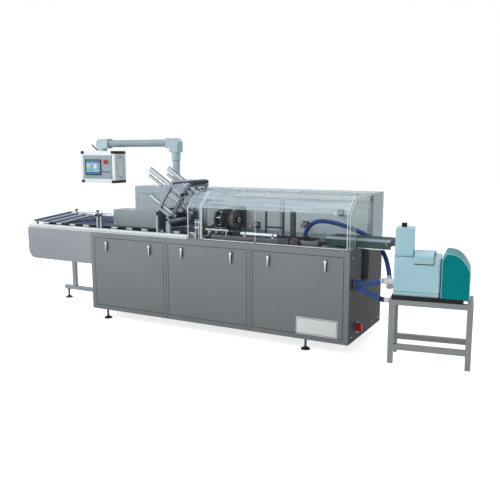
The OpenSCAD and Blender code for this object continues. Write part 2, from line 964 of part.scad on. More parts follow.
// Drive head across the top of the frame, with a hand knob at each side
module magazine_head() {
  head_l = 40;
  head_in = 70;
  knob_d = 34;
  knob_l = 16;
  color([0.18, 0.19, 0.21]) placed() tilted() {
    block([mag_l, head_in, 0], [mag_l + head_l, mag_w - head_in, mag_bar]);
    bar_y(head_in - knob_l, mag_w - head_in + knob_l, mag_l + head_l / 2, mag_bar / 2, mag_bar * 0.7);
    for (y = [head_in - 2 * knob_l, mag_w - head_in + knob_l])
      bar_y(y, y + knob_l, mag_l + head_l / 2, mag_bar / 2, knob_d);
  }
}

// Drive block of the carton feeder, fixed to the tall cabinet under the magazine
module feeder_drive() {
  drive_x = mag_x - 130;
  drive_w = 90;
  drive_y = pusher_y - 310;
  drive_z = cover_z + 4;
  drive_h = 125;
  motor_d = 84;
  motor_l = 50;
  color([0.15, 0.16, 0.18]) placed() {
    block([drive_x, drive_y, drive_z], [drive_x + drive_w, pusher_y, drive_z + drive_h]);
    bar_x(drive_x - motor_l, drive_x, drive_y + motor_d, drive_z + drive_h / 2, motor_d);
  }
}

// Feeder wheel and the head that carries its shaft
wheel_x = lane_x1 + 202;
wheel_y = 200;
wheel_z = table_z + 170;
head_x = lane_x1 + 10;
cheek_x = head_x + 64;
cheek_t = 16;
wheel_shaft_d = 36;

module feeder_head() {
  head_z = table_z + 60;
  head_w = 90;
  head_h = 190;
  cheek_r = 75;
  color([0.2, 0.21, 0.23]) placed() {
    block([head_x, pusher_y - 230, head_z], [head_x + head_w, pusher_y, head_z + head_h]);
    for (x = [head_x + 4, cheek_x])
      extrude_x(x, x + cheek_t) {
        translate([wheel_y, wheel_z])
          circle(cheek_r);
        translate([wheel_y, wheel_z - cheek_r])
          square([pusher_y - 230 - wheel_y + 1, 2 * cheek_r]);
      }
  }
}

module feeder_wheel() {
  holes = 8;
  hub = 26;
  rim = 16;
  web = wheel_w * 0.4;
  r = wheel_d / 2;
  color([0.14, 0.13, 0.13]) placed() translate([wheel_x, wheel_y, wheel_z]) difference() {
    rotate([0, 90, 0])
      rotate_extrude()
        polygon([[0, -(wheel_x - cheek_x - cheek_t)], [wheel_shaft_d / 2, -(wheel_x - cheek_x - cheek_t)],
                 [wheel_shaft_d / 2, -wheel_w / 2], [hub, -wheel_w / 2], [hub, -web / 2],
                 [r - rim, -web / 2], [r - rim, -wheel_w / 2], [r, -wheel_w / 2], [r, wheel_w / 2],
                 [r - rim, wheel_w / 2], [r - rim, web / 2], [hub, web / 2], [hub, wheel_w / 2 + 6],
                 [0, wheel_w / 2 + 6]]);
    for (i = [0 : holes - 1])
      rotate([i * 360 / holes, 0, 0])
        bar_x(-wheel_w, wheel_w, 0, (hub + r - rim) / 2, (r - rim - hub) * 0.5);
  }
}

// Carton bed: two lipped rails on the table
bed_x0 = lane_x1 + 20;
bed_x1 = bed_x0 + bed_l;
bed_rail = 20;

module carton_bed() {
  lip = 8;
  color([0.3, 0.31, 0.32]) placed()
    for (side = [0, 1])
      translate([0, side * (2 * bed_y + bed_w), 0])
        mirror([0, side, 0])
          extrude_x(bed_x0, bed_x1)
            polygon([[bed_y, table_z], [bed_y + bed_rail, table_z],
                     [bed_y + bed_rail, table_z + bed_h - lip],
                     [bed_y + bed_rail + lip, table_z + bed_h - lip],
                     [bed_y + bed_rail + lip, table_z + bed_h], [bed_y, table_z + bed_h]]);
}

// Two carton chains with lugs, each a fixed run on its guide
lug_count = floor((bed_l - 60) / lug_pitch);

module carton_chain() {
  run_w = 18;
  run_h = 24;
  lug_h = 40;
  lug_t = 12;
  run_in = 64;
  color([0.4, 0.41, 0.43]) placed()
    for (y = [bed_y + run_in, bed_y + bed_w - run_in - run_w]) {
      block([bed_x0, y, table_z], [bed_x1, y + run_w, table_z + run_h]);
      for (i = [0 : lug_count])
        block([bed_x0 + 30 + i * lug_pitch, y, table_z + run_h],
              [bed_x0 + 30 + i * lug_pitch + lug_t, y + run_w, table_z + run_h + lug_h]);
    }
}

// Bright tube that holds the cartons down, on two saddles on the front rail
tube_x0 = bed_x0 + 295;
tube_l = 335;

module hold_down_tube() {
  tube_d = 30;
  tube_z = table_z + bed_h + 26;
  tube_y = bed_y + bed_rail / 2;
  saddle = 16;
  color([0.93, 0.94, 0.95]) placed() {
    bar_x(tube_x0, tube_x0 + tube_l, tube_y, tube_z, tube_d);
    for (x = [tube_x0 + 30, tube_x0 + tube_l - 30 - saddle])
      block([x, bed_y, table_z + bed_h], [x + saddle, bed_y + bed_rail, tube_z]);
  }
}

// Posts and cross guide over the bed
module guide_posts() {
  guide_y = bed_y + bed_w / 2;
  first = bed_x0 + 470;
  span = 160;
  rod = 20;
  column = 36;
  column_h = 270;
  color([0.25, 0.26, 0.28]) placed() {
    for (x = [first, first + span])
      upright(x, guide_y, table_z, table_z + 255, rod);
    bar_x(first, first + span, guide_y, table_z + 125, rod * 0.8);
    block([first + 230, guide_y - column / 2, table_z],
          [first + 230 + column, guide_y + column / 2, table_z + column_h]);
  }
}

// Tuck drive at the operator's side of the bed
module tuck_station() {
  tuck_x = bed_x0 + 655;
  tuck_y = guard_in + guard_t + 8;
  color([0.13, 0.13, 0.14]) placed() {
    block([tuck_x, tuck_y, table_z], [tuck_x + 95, bed_y - 2, table_z + 58]);
    bar_y(tuck_y + 4, bed_y - 2, tuck_x + 140, table_z + 36, 70);
    block([tuck_x + 95, tuck_y + 8, table_z], [tuck_x + 180, bed_y - 6, table_z + 20]);
  }
}

// Glue gun behind the bed, with its hose fitting on top
gun_x = cabinet_l - 520;
gun_y = bed_y + bed_w + 29;
gun_h = 30;

module glue_gun() {
  gun = 46;
  fitting_l = 12;
  color([0.3, 0.32, 0.36]) placed() {
    block([gun_x - gun / 2, gun_y - gun / 2, table_z],
          [gun_x + gun / 2, gun_y + gun / 2, table_z + gun_h - fitting_l]);
    upright(gun_x, gun_y, table_z + gun_h - fitting_l, table_z + gun_h, hose_d + 8);
  }
}

// Guard: outline of the clear panes in Y and Z, from the front foot to the hinge
guard_x1 = cabinet_l - 10;
guard_top = pusher_top - 5;
guard_fixed = 134;
hinge_y = pusher_y - 16;
hinge_z = guard_top - guard_t / 2;
pane_end = hinge_y - hinge_d / 2 - guard_gap;
guard_line = [
  [guard_in, table_z + guard_gap], [guard_in, table_z + guard_bend],
  [guard_in + guard_slope, guard_top], [pane_end, guard_top]
];

function unit(v) = v / norm(v);
function right_of(v) = [v[1], -v[0]];
// Point inside a corner of the line, at one sheet thickness from both of its sides
function inner_corner(a, b, c, t) =
  let (n1 = right_of(unit(b - a)), n2 = right_of(unit(c - b)))
  b + t * (n1 + n2) / (1 + n1 * n2);

// Closed outline of a bent sheet along a line of four points
function bent_sheet(line, t) = [
  line[0], line[1], line[2], line[3],
  line[3] + t * right_of(unit(line[3] - line[2])),
  inner_corner(line[1], line[2], line[3], t),
  inner_corner(line[0], line[1], line[2], t),
  line[0] + t * right_of(unit(line[1] - line[0]))
];

// Outline of an end pane below the same line
module end_outline() {
  polygon([[guard_in, table_z], [guard_in, table_z + guard_bend],
           [guard_in + guard_slope, guard_top], [pusher_y, guard_top], [pusher_y, table_z]]);
}

// Left end: a pane with a tunnel for the buckets, and a fixed strip of the bent front
module guard_end_left() {
  tunnel_h = bucket_end_h + 16;
  color([0.85, 0.9, 0.92, 0.5]) placed() {
    extrude_x(guard_x, guard_x + guard_t)
      difference() {
        end_outline();
        translate([lane_y0 - 5, table_z - 1])
          square([pusher_y - lane_y0 + 6, tunnel_h + 1]);
      }
    extrude_x(guard_x + guard_t, guard_x + guard_fixed)
      polygon(bent_sheet(guard_line, guard_t));
  }
}

exit_y = 150;

// Right end: a pane with the carton exit
module guard_end_right() {
  color([0.85, 0.9, 0.92, 0.5]) placed() extrude_x(guard_x1 - guard_t, guard_x1)
    difference() {
      end_outline();
      translate([exit_y, table_z - 1])
        square([exit_w, exit_h + 1]);
    }
}

// Spans of the two doors, and the places of their hinges
door_spans = [
  [guard_x + guard_fixed + guard_gap, guard_split - guard_gap / 2],
  [guard_split + guard_gap / 2, guard_x1 - guard_t - guard_gap]
];
knuckle_l = 50;
knuckle_in = 70;
knuckle_gap = 0.4;
function knuckles(span) = [span[0] + knuckle_in, span[1] - knuckle_in - knuckle_l];

module guard_door(span) {
  color([0.85, 0.92, 0.95, 0.4]) placed() {
    extrude_x(span[0], span[1])
      polygon(bent_sheet(guard_line, guard_t));
    for (x = knuckles(span)) {
      bar_x(x, x + knuckle_l, hinge_y, hinge_z, hinge_d);
      block([x, pane_end - 1, hinge_z - guard_t / 2], [x + knuckle_l, hinge_y, hinge_z + guard_t / 2]);
    }
  }
}

module guard_door_left() {
  guard_door(door_spans[0]);
}

module guard_door_right() {
  guard_door(door_spans[1]);
}

// Bar on the tall cabinet that carries the fixed half of each hinge
module guard_header() {
  bar_h = 36;
  bar_w = 32;
  bar_top = hinge_z - hinge_d / 2 - 12;
  color([0.7, 0.72, 0.74]) placed() {
    block([guard_x + guard_fixed + guard_gap, pusher_y - bar_w, bar_top - bar_h],
          [guard_x1 - guard_t, pusher_y, bar_top]);
    for (span = door_spans)
      for (k = knuckles(span))
        for (x = [k - knuckle_gap - knuckle_l / 2, k + knuckle_l + knuckle_gap]) {
          bar_x(x, x + knuckle_l / 2, hinge_y, hinge_z, hinge_d);
          block([x, hinge_y - hinge_d / 4, bar_top - 1], [x + knuckle_l / 2, hinge_y + hinge_d / 4, hinge_z]);
        }
  }
}

// Discharge belt through the exit
belt_y = exit_y + 20;
belt_x0 = bed_x1 + 20 + belt_d / 2;
belt_x1 = cabinet_l + belt_out - belt_d / 2;
bearer_h = 10;
belt_z = table_z + bearer_h + 8 + belt_d / 2;
belt_t = 4;
side_t = 7;
side_gap = 2;

side_z = table_z + bearer_h;

// Bright guide rail along the operator's side of the belt, on the side plate
module belt_rail() {
  rail_out = 9;
  rail_t = 20;
  color([0.85, 0.86, 0.87]) placed()
    block([belt_x0 - 20, belt_y - side_gap - side_t - rail_out, side_z + belt_side],
          [belt_x1 + belt_d / 2, belt_y - side_gap, side_z + belt_side + rail_t]);
}

module belt_frame() {
  bearer_w = 40;
  color([0.1, 0.28, 0.2]) placed() {
    for (y = [belt_y - side_gap - side_t, belt_y + belt_w + side_gap])
      block([belt_x0 - 20, y, side_z], [belt_x1 + belt_d / 2, y + side_t, side_z + belt_side]);
    for (x = [belt_x0 + 20, cabinet_l - bearer_w - 30])
      block([x, belt_y - side_gap - side_t, table_z],
            [x + bearer_w, belt_y + belt_w + side_gap + side_t, side_z]);
  }
}

module discharge_belt() {
  color([0.08, 0.24, 0.17]) placed() extrude_y(belt_y, belt_y + belt_w)
    difference() {
      stadium(belt_x0, belt_x1, belt_z, belt_d / 2);
      stadium(belt_x0, belt_x1, belt_z, belt_d / 2 - belt_t);
    }
}

module belt_rollers() {
  axle_d = 16;
  color([0.5, 0.52, 0.54]) placed()
    for (x = [belt_x0, belt_x1]) {
      bar_y(belt_y, belt_y + belt_w, x, belt_z, belt_d - 2 * belt_t - 2 * rest_gap);
      bar_y(belt_y - side_gap, belt_y + belt_w + side_gap, x, belt_z, axle_d);
    }
}

// Stand of the glue unit: legs, a top ring, and a low rail front and back
stand_x1 = stand_x + stand_l;
stand_y1 = stand_y + stand_w;

module stand() {
  color([0.55, 0.56, 0.57]) turned() {
    for (x = [stand_x, stand_x1 - stand_tube])
      for (y = [stand_y, stand_y1 - stand_tube])
        block([x, y, 0], [x + stand_tube, y + stand_tube, stand_h]);
    for (y = [stand_y, stand_y1 - stand_tube])
      for (z = [stand_h - stand_tube, stand_rail])
        block([stand_x, y, z], [stand_x1, y + stand_tube, z + stand_tube]);
    for (x = [stand_x, stand_x1 - stand_tube])
      block([x, stand_y, stand_h - stand_tube], [x + stand_tube, stand_y1, stand_h]);
  }
}

tray_x0 = stand_x + 20;
tray_x1 = stand_x1 - 70;
tray_z = stand_h + tray_t;

module glue_tray() {
  inset = 8;
  color([0.07, 0.07, 0.08]) turned()
    block([tray_x0, stand_y + inset, stand_h], [tray_x1, stand_y1 - inset, tray_z]);
}

// Rectangle with rounded corners
module round_rect(low, high, r) {
  translate([low[0] + r, low[1]])
    square([high[0] - low[0] - 2 * r, high[1] - low[1]]);
  translate([low[0], low[1] + r])
    square([high[0] - low[0], high[1] - low[1] - 2 * r]);
  for (x = [low[0] + r, high[0] - r])
    for (y = [low[1] + r, high[1] - r])
      translate([x, y])
        circle(r);
}

tank_x = tray_x0 + 5;
tank_x1 = tank_x + tank_w;
tank_y0 = stand_y + 20;
tank_y1 = stand_y1 - 20;
tank_top = tray_z + tank_h;
lid_x0 = tank_x + 146;
lid_x1 = lid_x0 + 136;
lid_h = 36;
lid_back = tank_y0 + 215;
lid_hinge_z = tank_top + 20;
lid_hinge_d = 16;
lug_w = 10;

// Tank housing with the melt well under the lid, and the lid's two hinge lugs
module glue_tank() {
  wall = 20;
  well_deep = 190;
  edge_r = 14;
  color([0.66, 0.78, 0.81]) turned() {
    difference() {
      translate([0, 0, tray_z])
        linear_extrude(tank_h)
          round_rect([tank_x, tank_y0], [tank_x1, tank_y1], edge_r);
      block([lid_x0 + wall, tank_y0 + wall, tank_top - well_deep],
            [lid_x1 - wall, lid_back - wall - lid_hinge_d, tank_top + 1]);
    }
    for (x = [lid_x0 - knuckle_gap - lug_w, lid_x1 + knuckle_gap]) {
      bar_x(x, x + lug_w, lid_back, lid_hinge_z, lid_hinge_d);
      block([x, lid_back - lid_hinge_d / 2, tank_top - 1],
            [x + lug_w, lid_back + lid_hinge_d / 2, lid_hinge_z]);
    }
  }
}

// Lid: hollow cap with a flap over the front, hinged at its back edge
module tank_lid() {
  flap = 40;
  flap_t = 8;
  slack = 1.5;
  low = tank_top + rest_gap;
  nose = 14;
  color([0.7, 0.82, 0.84]) turned() extrude_x(lid_x0, lid_x1) {
    polygon([[tank_y0 - slack - flap_t, low - flap], [tank_y0 - slack, low - flap],
             [tank_y0 - slack, low], [lid_back, low],
             [lid_back, low + lid_h - 4], [lid_back - 60, low + lid_h],
             [tank_y0 + nose, low + lid_h], [tank_y0 - slack - flap_t, low + lid_h - nose - 6]]);
    translate([lid_back, lid_hinge_z])
      circle(d = lid_hinge_d);
  }
}

// Pump tower: slightly tapered cover with a knob on its top
module pump_tower() {
  taper = 4;
  depth = 170;
  knob_d = 36;
  knob_h = 34;
  tower_x = tank_x - 2;
  tower_y = tank_y0 + 40;
  color([0.66, 0.78, 0.81]) turned() {
    extrude_y(tower_y, tower_y + depth)
      polygon([[tower_x, tank_top], [tower_x + tower_w, tank_top],
               [tower_x + tower_w - taper, tank_top + tower_h], [tower_x + taper, tank_top + tower_h]]);
    upright(tower_x + tower_w * 0.42, tower_y + depth / 2, tank_top + tower_h,
            tank_top + tower_h + knob_h, knob_d);
  }
}

// Control cover: cut corner towards the tank, crown that falls off to the free side
module control_cover() {
  cover_x0 = tank_x1 + 8;
  inset = 8;
  cut_w = 28;
  cut_h = 54;
  fall = 130;
  steps = 10;
  crown = [for (i = [0 : steps])
    [cut_w + (control_w - cut_w) * i / steps, control_h - fall * pow(i / steps, 3)]];
  color([0.02, 0.5, 0.5]) turned() extrude_y(stand_y + inset, stand_y1 - inset)
    translate([cover_x0, tray_z])
      polygon(concat([[control_w, 0], [0, 0], [0, control_h - cut_h]], crown));
}

// Heated hoses: where they leave, where they end, and the hand-set points between
sleeve = hose_d + 8;
gland_l = 12;
middle_start = [cabinet_l + gland_l, 90, 590];
lower_start = [cabinet_l + gland_l, 90, 545];
// The ports at the glue unit, in its own unturned place
upper_port = [tank_x - 50, 250, 590];
middle_port = [tank_x - 80, 125, 616];
lower_port = [stand_x - 42, 100, stand_h - stand_tube / 2];
// Points of a route, counted along the machine from the cabinet's right end
function past_end(points) = [for (p = points) [cabinet_l + p[0], p[1], p[2]]];
upper_route = concat(
  [[gun_x, gun_y, table_z + gun_h]],
  past_end([
    [-508, 345, 927], [-476, 346, 976], [-427, 348, 1009], [-370, 351, 1020], [-290, 357, 1014],
    [-210, 366, 997], [-130, 377, 973], [-50, 388, 942], [20, 395, 908], [70, 398, 874],
    [114, 392, 832], [150, 374, 789], [179, 344, 752], [204, 305, 716], [225, 270, 676], [238, 250, 634]
  ]),
  [turned_at(upper_port)]
);
middle_route = concat(
  [middle_start],
  past_end([
    [30, 90, 588.5], [48, 90, 586], [66, 90.5, 583.5], [84, 91.5, 582], [102, 93, 582],
    [120, 95, 583.5], [137, 97, 586.5], [153, 99.5, 591], [169, 102, 596.5], [184, 105, 602.5],
    [198, 108, 608], [211, 111, 612.5], [222, 113.3, 615]
  ]),
  [turned_at(middle_port)]
);
lower_route = concat(
  [lower_start],
  past_end([
    [30, 90, 544], [48, 90, 541.5], [66, 90, 537.5], [84, 90, 532], [102, 90, 525.5],
    [120, 90, 518], [138, 90, 510], [155, 90, 502.5], [172, 90.2, 495.5], [188, 90.5, 489],
    [204, 91, 483.5], [219, 91.5, 479], [234, 92.1, 476.2]
  ]),
  [turned_at(lower_port)]
);
// Direction in which the hoses meet the ports of the turned unit
port_way = [cos(stand_turn), sin(stand_turn), 0];

// Direction of a route at a point, with the given directions at its two ends
function heading(route, i, first, last) =
  i == 0 ? first
  : i == len(route) - 1 ? last
  : unit(route[i + 1] - route[i - 1]);

hose_sides = 10;

function hose_ring(at, along) =
  let (u = unit(cross(along, [0, 1, 0])), v = cross(along, u))
  [for (k = [0 : hose_sides - 1])
    at + hose_d / 2 * (cos(k * 360 / hose_sides) * u + sin(k * 360 / hose_sides) * v)];

module hose(route, first, last) {
  n = hose_sides;
  rings = [for (i = [0 : len(route) - 1]) hose_ring(route[i], heading(route, i, first, last))];
  points = [for (ring = rings) for (p = ring) p];
  walls = [
    for (i = [0 : len(route) - 2])
      for (k = [0 : n - 1])
        for (face = [[i * n + k, (i + 1) * n + k, (i + 1) * n + (k + 1) % n],
                     [i * n + k, (i + 1) * n + (k + 1) % n, i * n + (k + 1) % n]])
          face
  ];
  tail = (len(route) - 1) * n;
  polyhedron(points, concat(walls, [[for (k = [0 : n - 1]) k],
                                    [for (k = [n - 1 : -1 : 0]) tail + k]]));
}

// Couplings: two sleeves in the cabinet's end and three ports at the glue unit
module hose_ports() {
  bend_z = upper_port[2] - 38;
  color([0.9, 0.91, 0.92]) {
    placed()
      for (start = [middle_start, lower_start])
        bar_x(cabinet_l, start[0], start[1], start[2], sleeve);
    turned() {
      bar_x(middle_port[0], tank_x, middle_port[1], middle_port[2], sleeve);
      bar_x(lower_port[0], stand_x, lower_port[1], lower_port[2], hose_d + 2);
      bar_x(upper_port[0], tank_x, upper_port[1], bend_z, hose_d);
      upright(upper_port[0], upper_port[1], bend_z - hose_d / 2, upper_port[2], sleeve);
    }
  }
}

module hose_upper() {
  color([0.13, 0.28, 0.6]) placed()
    hose(upper_route, [0, 0, 1], [0, 0, -1]);
}

module hose_middle() {
  color([0.13, 0.28, 0.6]) placed()
    hose(middle_route, [1, 0, 0], port_way);
}

module hose_lower() {
  color([0.13, 0.28, 0.6]) placed()
    hose(lower_route, [1, 0, 0], port_way);
}

cabinet_housing();
worktop();
cabinet_doors();
door_latches();
levelling_feet();
main_switch();
infeed_trough();
infeed_leg();
front_rail();
back_guide();
infeed_slide();
guide_brackets();
bucket_chain();
chain_wheels();
buckets();
bucket_ends();
lane_slats();
drive_cover();
pusher_cabinet();
pusher_panels();
arm_post();
swing_arm();
clamp_lever();
panel_neck();
panel_box();
panel_corners();
panel_face();
panel_screen();
emergency_stop();
panel_buttons();
panel_handles();
magazine_frame();
magazine_bars();
magazine_head();
feeder_drive();
feeder_head();
feeder_wheel();
carton_bed();
carton_chain();
hold_down_tube();
guide_posts();
tuck_station();
glue_gun();
guard_end_left();
guard_end_right();
guard_header();
guard_door_left();
guard_door_right();
belt_frame();
belt_rail();
discharge_belt();
belt_rollers();
stand();
glue_tray();
glue_tank();
pump_tower();
tank_lid();
control_cover();
hose_ports();
hose_upper();
hose_middle();
hose_lower();
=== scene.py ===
import json
import math
from itertools import product

import bmesh
import bpy
from mathutils import Matrix, Vector


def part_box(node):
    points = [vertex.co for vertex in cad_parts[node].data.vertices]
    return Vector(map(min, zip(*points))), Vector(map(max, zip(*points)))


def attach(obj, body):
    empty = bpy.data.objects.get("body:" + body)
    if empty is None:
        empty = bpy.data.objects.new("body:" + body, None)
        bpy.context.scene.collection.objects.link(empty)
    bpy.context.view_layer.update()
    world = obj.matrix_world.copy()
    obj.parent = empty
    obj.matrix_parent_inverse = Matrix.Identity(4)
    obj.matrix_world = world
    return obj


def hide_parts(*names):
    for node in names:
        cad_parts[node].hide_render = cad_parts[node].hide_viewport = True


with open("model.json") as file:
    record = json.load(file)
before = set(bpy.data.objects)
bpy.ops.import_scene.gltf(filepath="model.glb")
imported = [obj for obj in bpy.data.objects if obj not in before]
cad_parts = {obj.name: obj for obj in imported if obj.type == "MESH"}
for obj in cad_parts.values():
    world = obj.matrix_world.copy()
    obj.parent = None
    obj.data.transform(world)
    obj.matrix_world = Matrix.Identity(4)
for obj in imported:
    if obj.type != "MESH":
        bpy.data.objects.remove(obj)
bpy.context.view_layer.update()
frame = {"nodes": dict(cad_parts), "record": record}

# The part's source counts from the cabinet's left front corner on the floor; this is that corner in the frame
table_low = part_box("worktop")[0]
CORNER = Vector((table_low[0], table_low[1], 0))

LEFT, RIGHT = (-1, 0, 0), (1, 0, 0)
FRONT, BACK = (0, -1, 0), (0, 1, 0)
UP = (0, 0, 1)


def at(x, y, z):
    """A place in the frame, from millimetres counted from that corner."""
    return CORNER + Vector((x, y, z)) / 1000


def corners(node):
    """A CAD node's lowest and highest corner, in the same millimetres."""
    low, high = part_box(node)
    return (Vector(low) - CORNER) * 1000, (Vector(high) - CORNER) * 1000


# Camera

CAMERA_PLACE = at(4122, -4488, 1583)
CAMERA_PITCH = math.radians(8.86)
CAMERA_YAW = math.radians(28.16)
CAMERA_LENS = 45.05
SENSOR_WIDTH = 36


def make_camera():
    data = bpy.data.cameras.new("camera")
    data.lens = CAMERA_LENS
    data.sensor_width = SENSOR_WIDTH
    data.clip_end = 100
    camera = bpy.data.objects.new("camera", data)
    camera.location = CAMERA_PLACE
    camera.rotation_euler = (math.pi / 2 - CAMERA_PITCH, 0, CAMERA_YAW)
    bpy.context.scene.collection.objects.link(camera)
    bpy.context.scene.camera = camera


make_camera()


# Shader nodes

def feed(tree, node, inputs):
    """Sets a node's inputs, and links those that are another node's output."""
    for key, value in inputs.items():
        if isinstance(value, bpy.types.NodeSocket):
            tree.links.new(value, node.inputs[key])
        else:
            node.inputs[key].default_value = value


def add_node(tree, kind, inputs, operation=None):
    node = tree.nodes.new("ShaderNode" + kind)
    if operation:
        node.operation = operation
    feed(tree, node, inputs)
    return node


def worked(tree, operation, *values):
    """The result of a sum on values and other nodes' outputs."""
    return add_node(tree, "Math", dict(enumerate(values)), operation).outputs[0]


def carried(tree, value, start, end):
    """A value carried over from one span to another."""
    inputs = {"Value": value, "From Min": start[0], "From Max": start[1], "To Min": end[0], "To Max": end[1]}
    return add_node(tree, "MapRange", inputs).outputs["Result"]


def spread(tree, factor, low, high):
    """A factor around a half drawn out to run from low to high."""
    return carried(tree, factor, (0.3, 0.7), (low, high))


def coordinates(tree, scale=(1, 1, 1)):
    """Object coordinates; a small scale along one axis draws a pattern out along it."""
    source = add_node(tree, "TexCoord", {})
    inputs = {"Vector": source.outputs["Object"], "Scale": scale}
    return add_node(tree, "Mapping", inputs).outputs["Vector"]


def noise(tree, vector, scale, detail):
    inputs = {"Vector": vector, "Scale": scale, "Detail": detail}
    return add_node(tree, "TexNoise", inputs).outputs["Fac"]


def dot(tree, vector, direction):
    return add_node(tree, "VectorMath", {0: vector, 1: direction}, "DOT_PRODUCT").outputs["Value"]


def ramp(tree, factor, stops):
    """A colour ramp through (position, colour) stops."""
    node = add_node(tree, "ValToRGB", {"Fac": factor})
    elements = node.color_ramp.elements
    while len(elements) < len(stops):
        elements.new(0.5)
    for element, (position, colour) in zip(elements, stops):
        element.position = position
        element.color = (*colour, 1)
    return node.outputs["Color"]


def bump(tree, bsdf, height, distance, strength):
    inputs = {"Height": height, "Distance": distance, "Strength": strength}
    feed(tree, bsdf, {"Normal": add_node(tree, "Bump", inputs).outputs["Normal"]})


def tinted(colour, share):
    return tuple(min(1.0, c * share) for c in colour)


def clouded(tree, factor, colour, cloud, first=0.35):
    """A colour a little darker and lighter where a factor is under and over a half."""
    return ramp(tree, factor, [(first, tinted(colour, 1 - cloud)), (1 - first, tinted(colour, 1 + cloud))])


def toned(tree, colour, tone):
    """One colour times another."""
    return add_node(tree, "VectorMath", {0: colour, 1: tone}, "MULTIPLY").outputs["Vector"]


def level_along(tree, direction, low, high, top=1.0):
    """A value that climbs from 0 at low to top at high, in metres along a direction."""
    source = add_node(tree, "TexCoord", {})
    return carried(tree, dot(tree, source.outputs["Object"], direction), (low, high), (0, top))


def shade_along(tree, colour, direction, *stops):
    """Painted light and shade: the colour times a share that changes along a direction, by stops of metres and
    share.
    """
    first, last = stops[0][0], stops[-1][0]
    shares = [((place - first) / (last - first), (share,) * 3) for place, share in stops]
    return toned(tree, colour, ramp(tree, level_along(tree, direction, first, last), shares))


# Painted shade on the end faces: how far a face looks along the machine where the shade starts and is full,
# and the gloss there
END_SHADE_FROM, END_SHADE_FULL, END_SHADE_GLOSS = 0.5, 0.9, 0.02


def painted_end_shade(tree, bsdf, colour, tone):
    """The colour with painted shade: darker and duller on faces that look along the machine."""
    source = add_node(tree, "TexCoord", {})
    split = add_node(tree, "SeparateXYZ", {"Vector": source.outputs["Normal"]})
    facing = split.outputs["X"]
    for key in ("Metallic", "Specular IOR Level"):
        fall = (bsdf.inputs[key].default_value, END_SHADE_GLOSS)
        feed(tree, bsdf, {key: carried(tree, facing, (END_SHADE_FROM, END_SHADE_FULL), fall)})
    return toned(tree, colour, ramp(tree, facing, [(END_SHADE_FROM, (1, 1, 1)), (END_SHADE_FULL, tone)]))


# Kinds of material: each starts from a shader whose even values sit on its own sockets

def shader(name, values):
    """A new material, its node tree and its principled shader."""
    material = bpy.data.materials.new(name)
    material.use_nodes = True
    tree = material.node_tree
    bsdf = tree.nodes["Principled BSDF"]
    feed(tree, bsdf, values)
    return material, tree, bsdf


# How a brushed sheet's pattern is stretched: lines run along the axis with the small scale
LENGTHWISE, CROSSWISE, UPRIGHT = (1, 60, 60), (60, 1, 60), (60, 60, 1)
DRAWN, SATIN, EVEN = (1, 80, 80), (40, 40, 1), (30, 30, 30)


def brushed(name, colour, grain, rough=(0.25, 0.4), metallic=0.9, cloud=0.1, painted_shading=None, gloss=0.5, end=None):
    """Brushed metal: fine lines under broad soft clouds, with painted shading along a direction and painted
    shade on end faces where asked.
    """
    material, tree, bsdf = shader(name, {"Metallic": metallic, "Specular IOR Level": gloss})
    lines = noise(tree, coordinates(tree, grain), scale=14, detail=6)
    broad = noise(tree, coordinates(tree), scale=2.2, detail=3)
    both = worked(tree, "MULTIPLY_ADD", lines, 0.45, worked(tree, "MULTIPLY", broad, 0.55))
    base = clouded(tree, both, colour, cloud)
    if painted_shading:
        base = shade_along(tree, base, *painted_shading)
    if end:
        base = painted_end_shade(tree, bsdf, base, end)
    feed(tree, bsdf, {"Base Color": base, "Roughness": spread(tree, lines, *rough)})
    bump(tree, bsdf, lines, distance=0.0004, strength=0.12)
    return material


def painted(name, colour, rough=(0.35, 0.5), metallic=0.0, painted_shading=None):
    """Paint with a fine orange peel and a slight change of shade, with painted light and shade along a
    direction where asked.
    """
    material, tree, bsdf = shader(name, {"Metallic": metallic})
    vector = coordinates(tree)
    broad = noise(tree, vector, scale=3.5, detail=5)
    base = clouded(tree, broad, colour, 0.06)
    if painted_shading:
        base = shade_along(tree, base, *painted_shading)
    feed(tree, bsdf, {"Base Color": base, "Roughness": spread(tree, broad, *rough)})
    bump(tree, bsdf, noise(tree, vector, scale=260, detail=2), distance=0.0003, strength=0.15)
    return material


def plastic(name, colour, rough=(0.2, 0.3), gloss=0.4):
    """Moulded plastic: a fine grain and a slightly uneven gloss."""
    material, tree, bsdf = shader(name, {"Specular IOR Level": gloss})
    vector = coordinates(tree)
    grain = noise(tree, vector, scale=420, detail=2)
    broad = noise(tree, vector, scale=9, detail=4)
    base = clouded(tree, broad, colour, 0.08, 0.3)
    feed(tree, bsdf, {"Base Color": base, "Roughness": spread(tree, grain, *rough)})
    bump(tree, bsdf, grain, distance=0.0002, strength=0.2)
    return material


# Heights in metres between which the guards' panes turn milky, over their bend
BEND_FROM, BEND_FULL = 1.11, 1.13


def clear_sheet(name, colour, facing, grazing, haze=0.2):
    """Clear sheet, milkier at a slant, and milkier in streaks above its bend."""
    material, tree, bsdf = shader(name, {"Roughness": 0.06})
    smear = noise(tree, coordinates(tree, (1, 1, 3)), scale=5, detail=4)
    base = ramp(tree, smear, [(0.3, tinted(colour, 0.94)), (0.7, colour)])
    slant = add_node(tree, "LayerWeight", {"Blend": 0.35}).outputs["Facing"]
    alpha = carried(tree, slant, (0, 1), (facing, grazing))
    streak = spread(tree, noise(tree, coordinates(tree, (1, 6, 18)), scale=3, detail=5), 0.35, 1.6)
    streaked_alpha = worked(tree, "MULTIPLY_ADD", level_along(tree, UP, BEND_FROM, BEND_FULL, haze), streak, alpha)
    feed(tree, bsdf, {"Base Color": base, "Alpha": streaked_alpha})
    return material


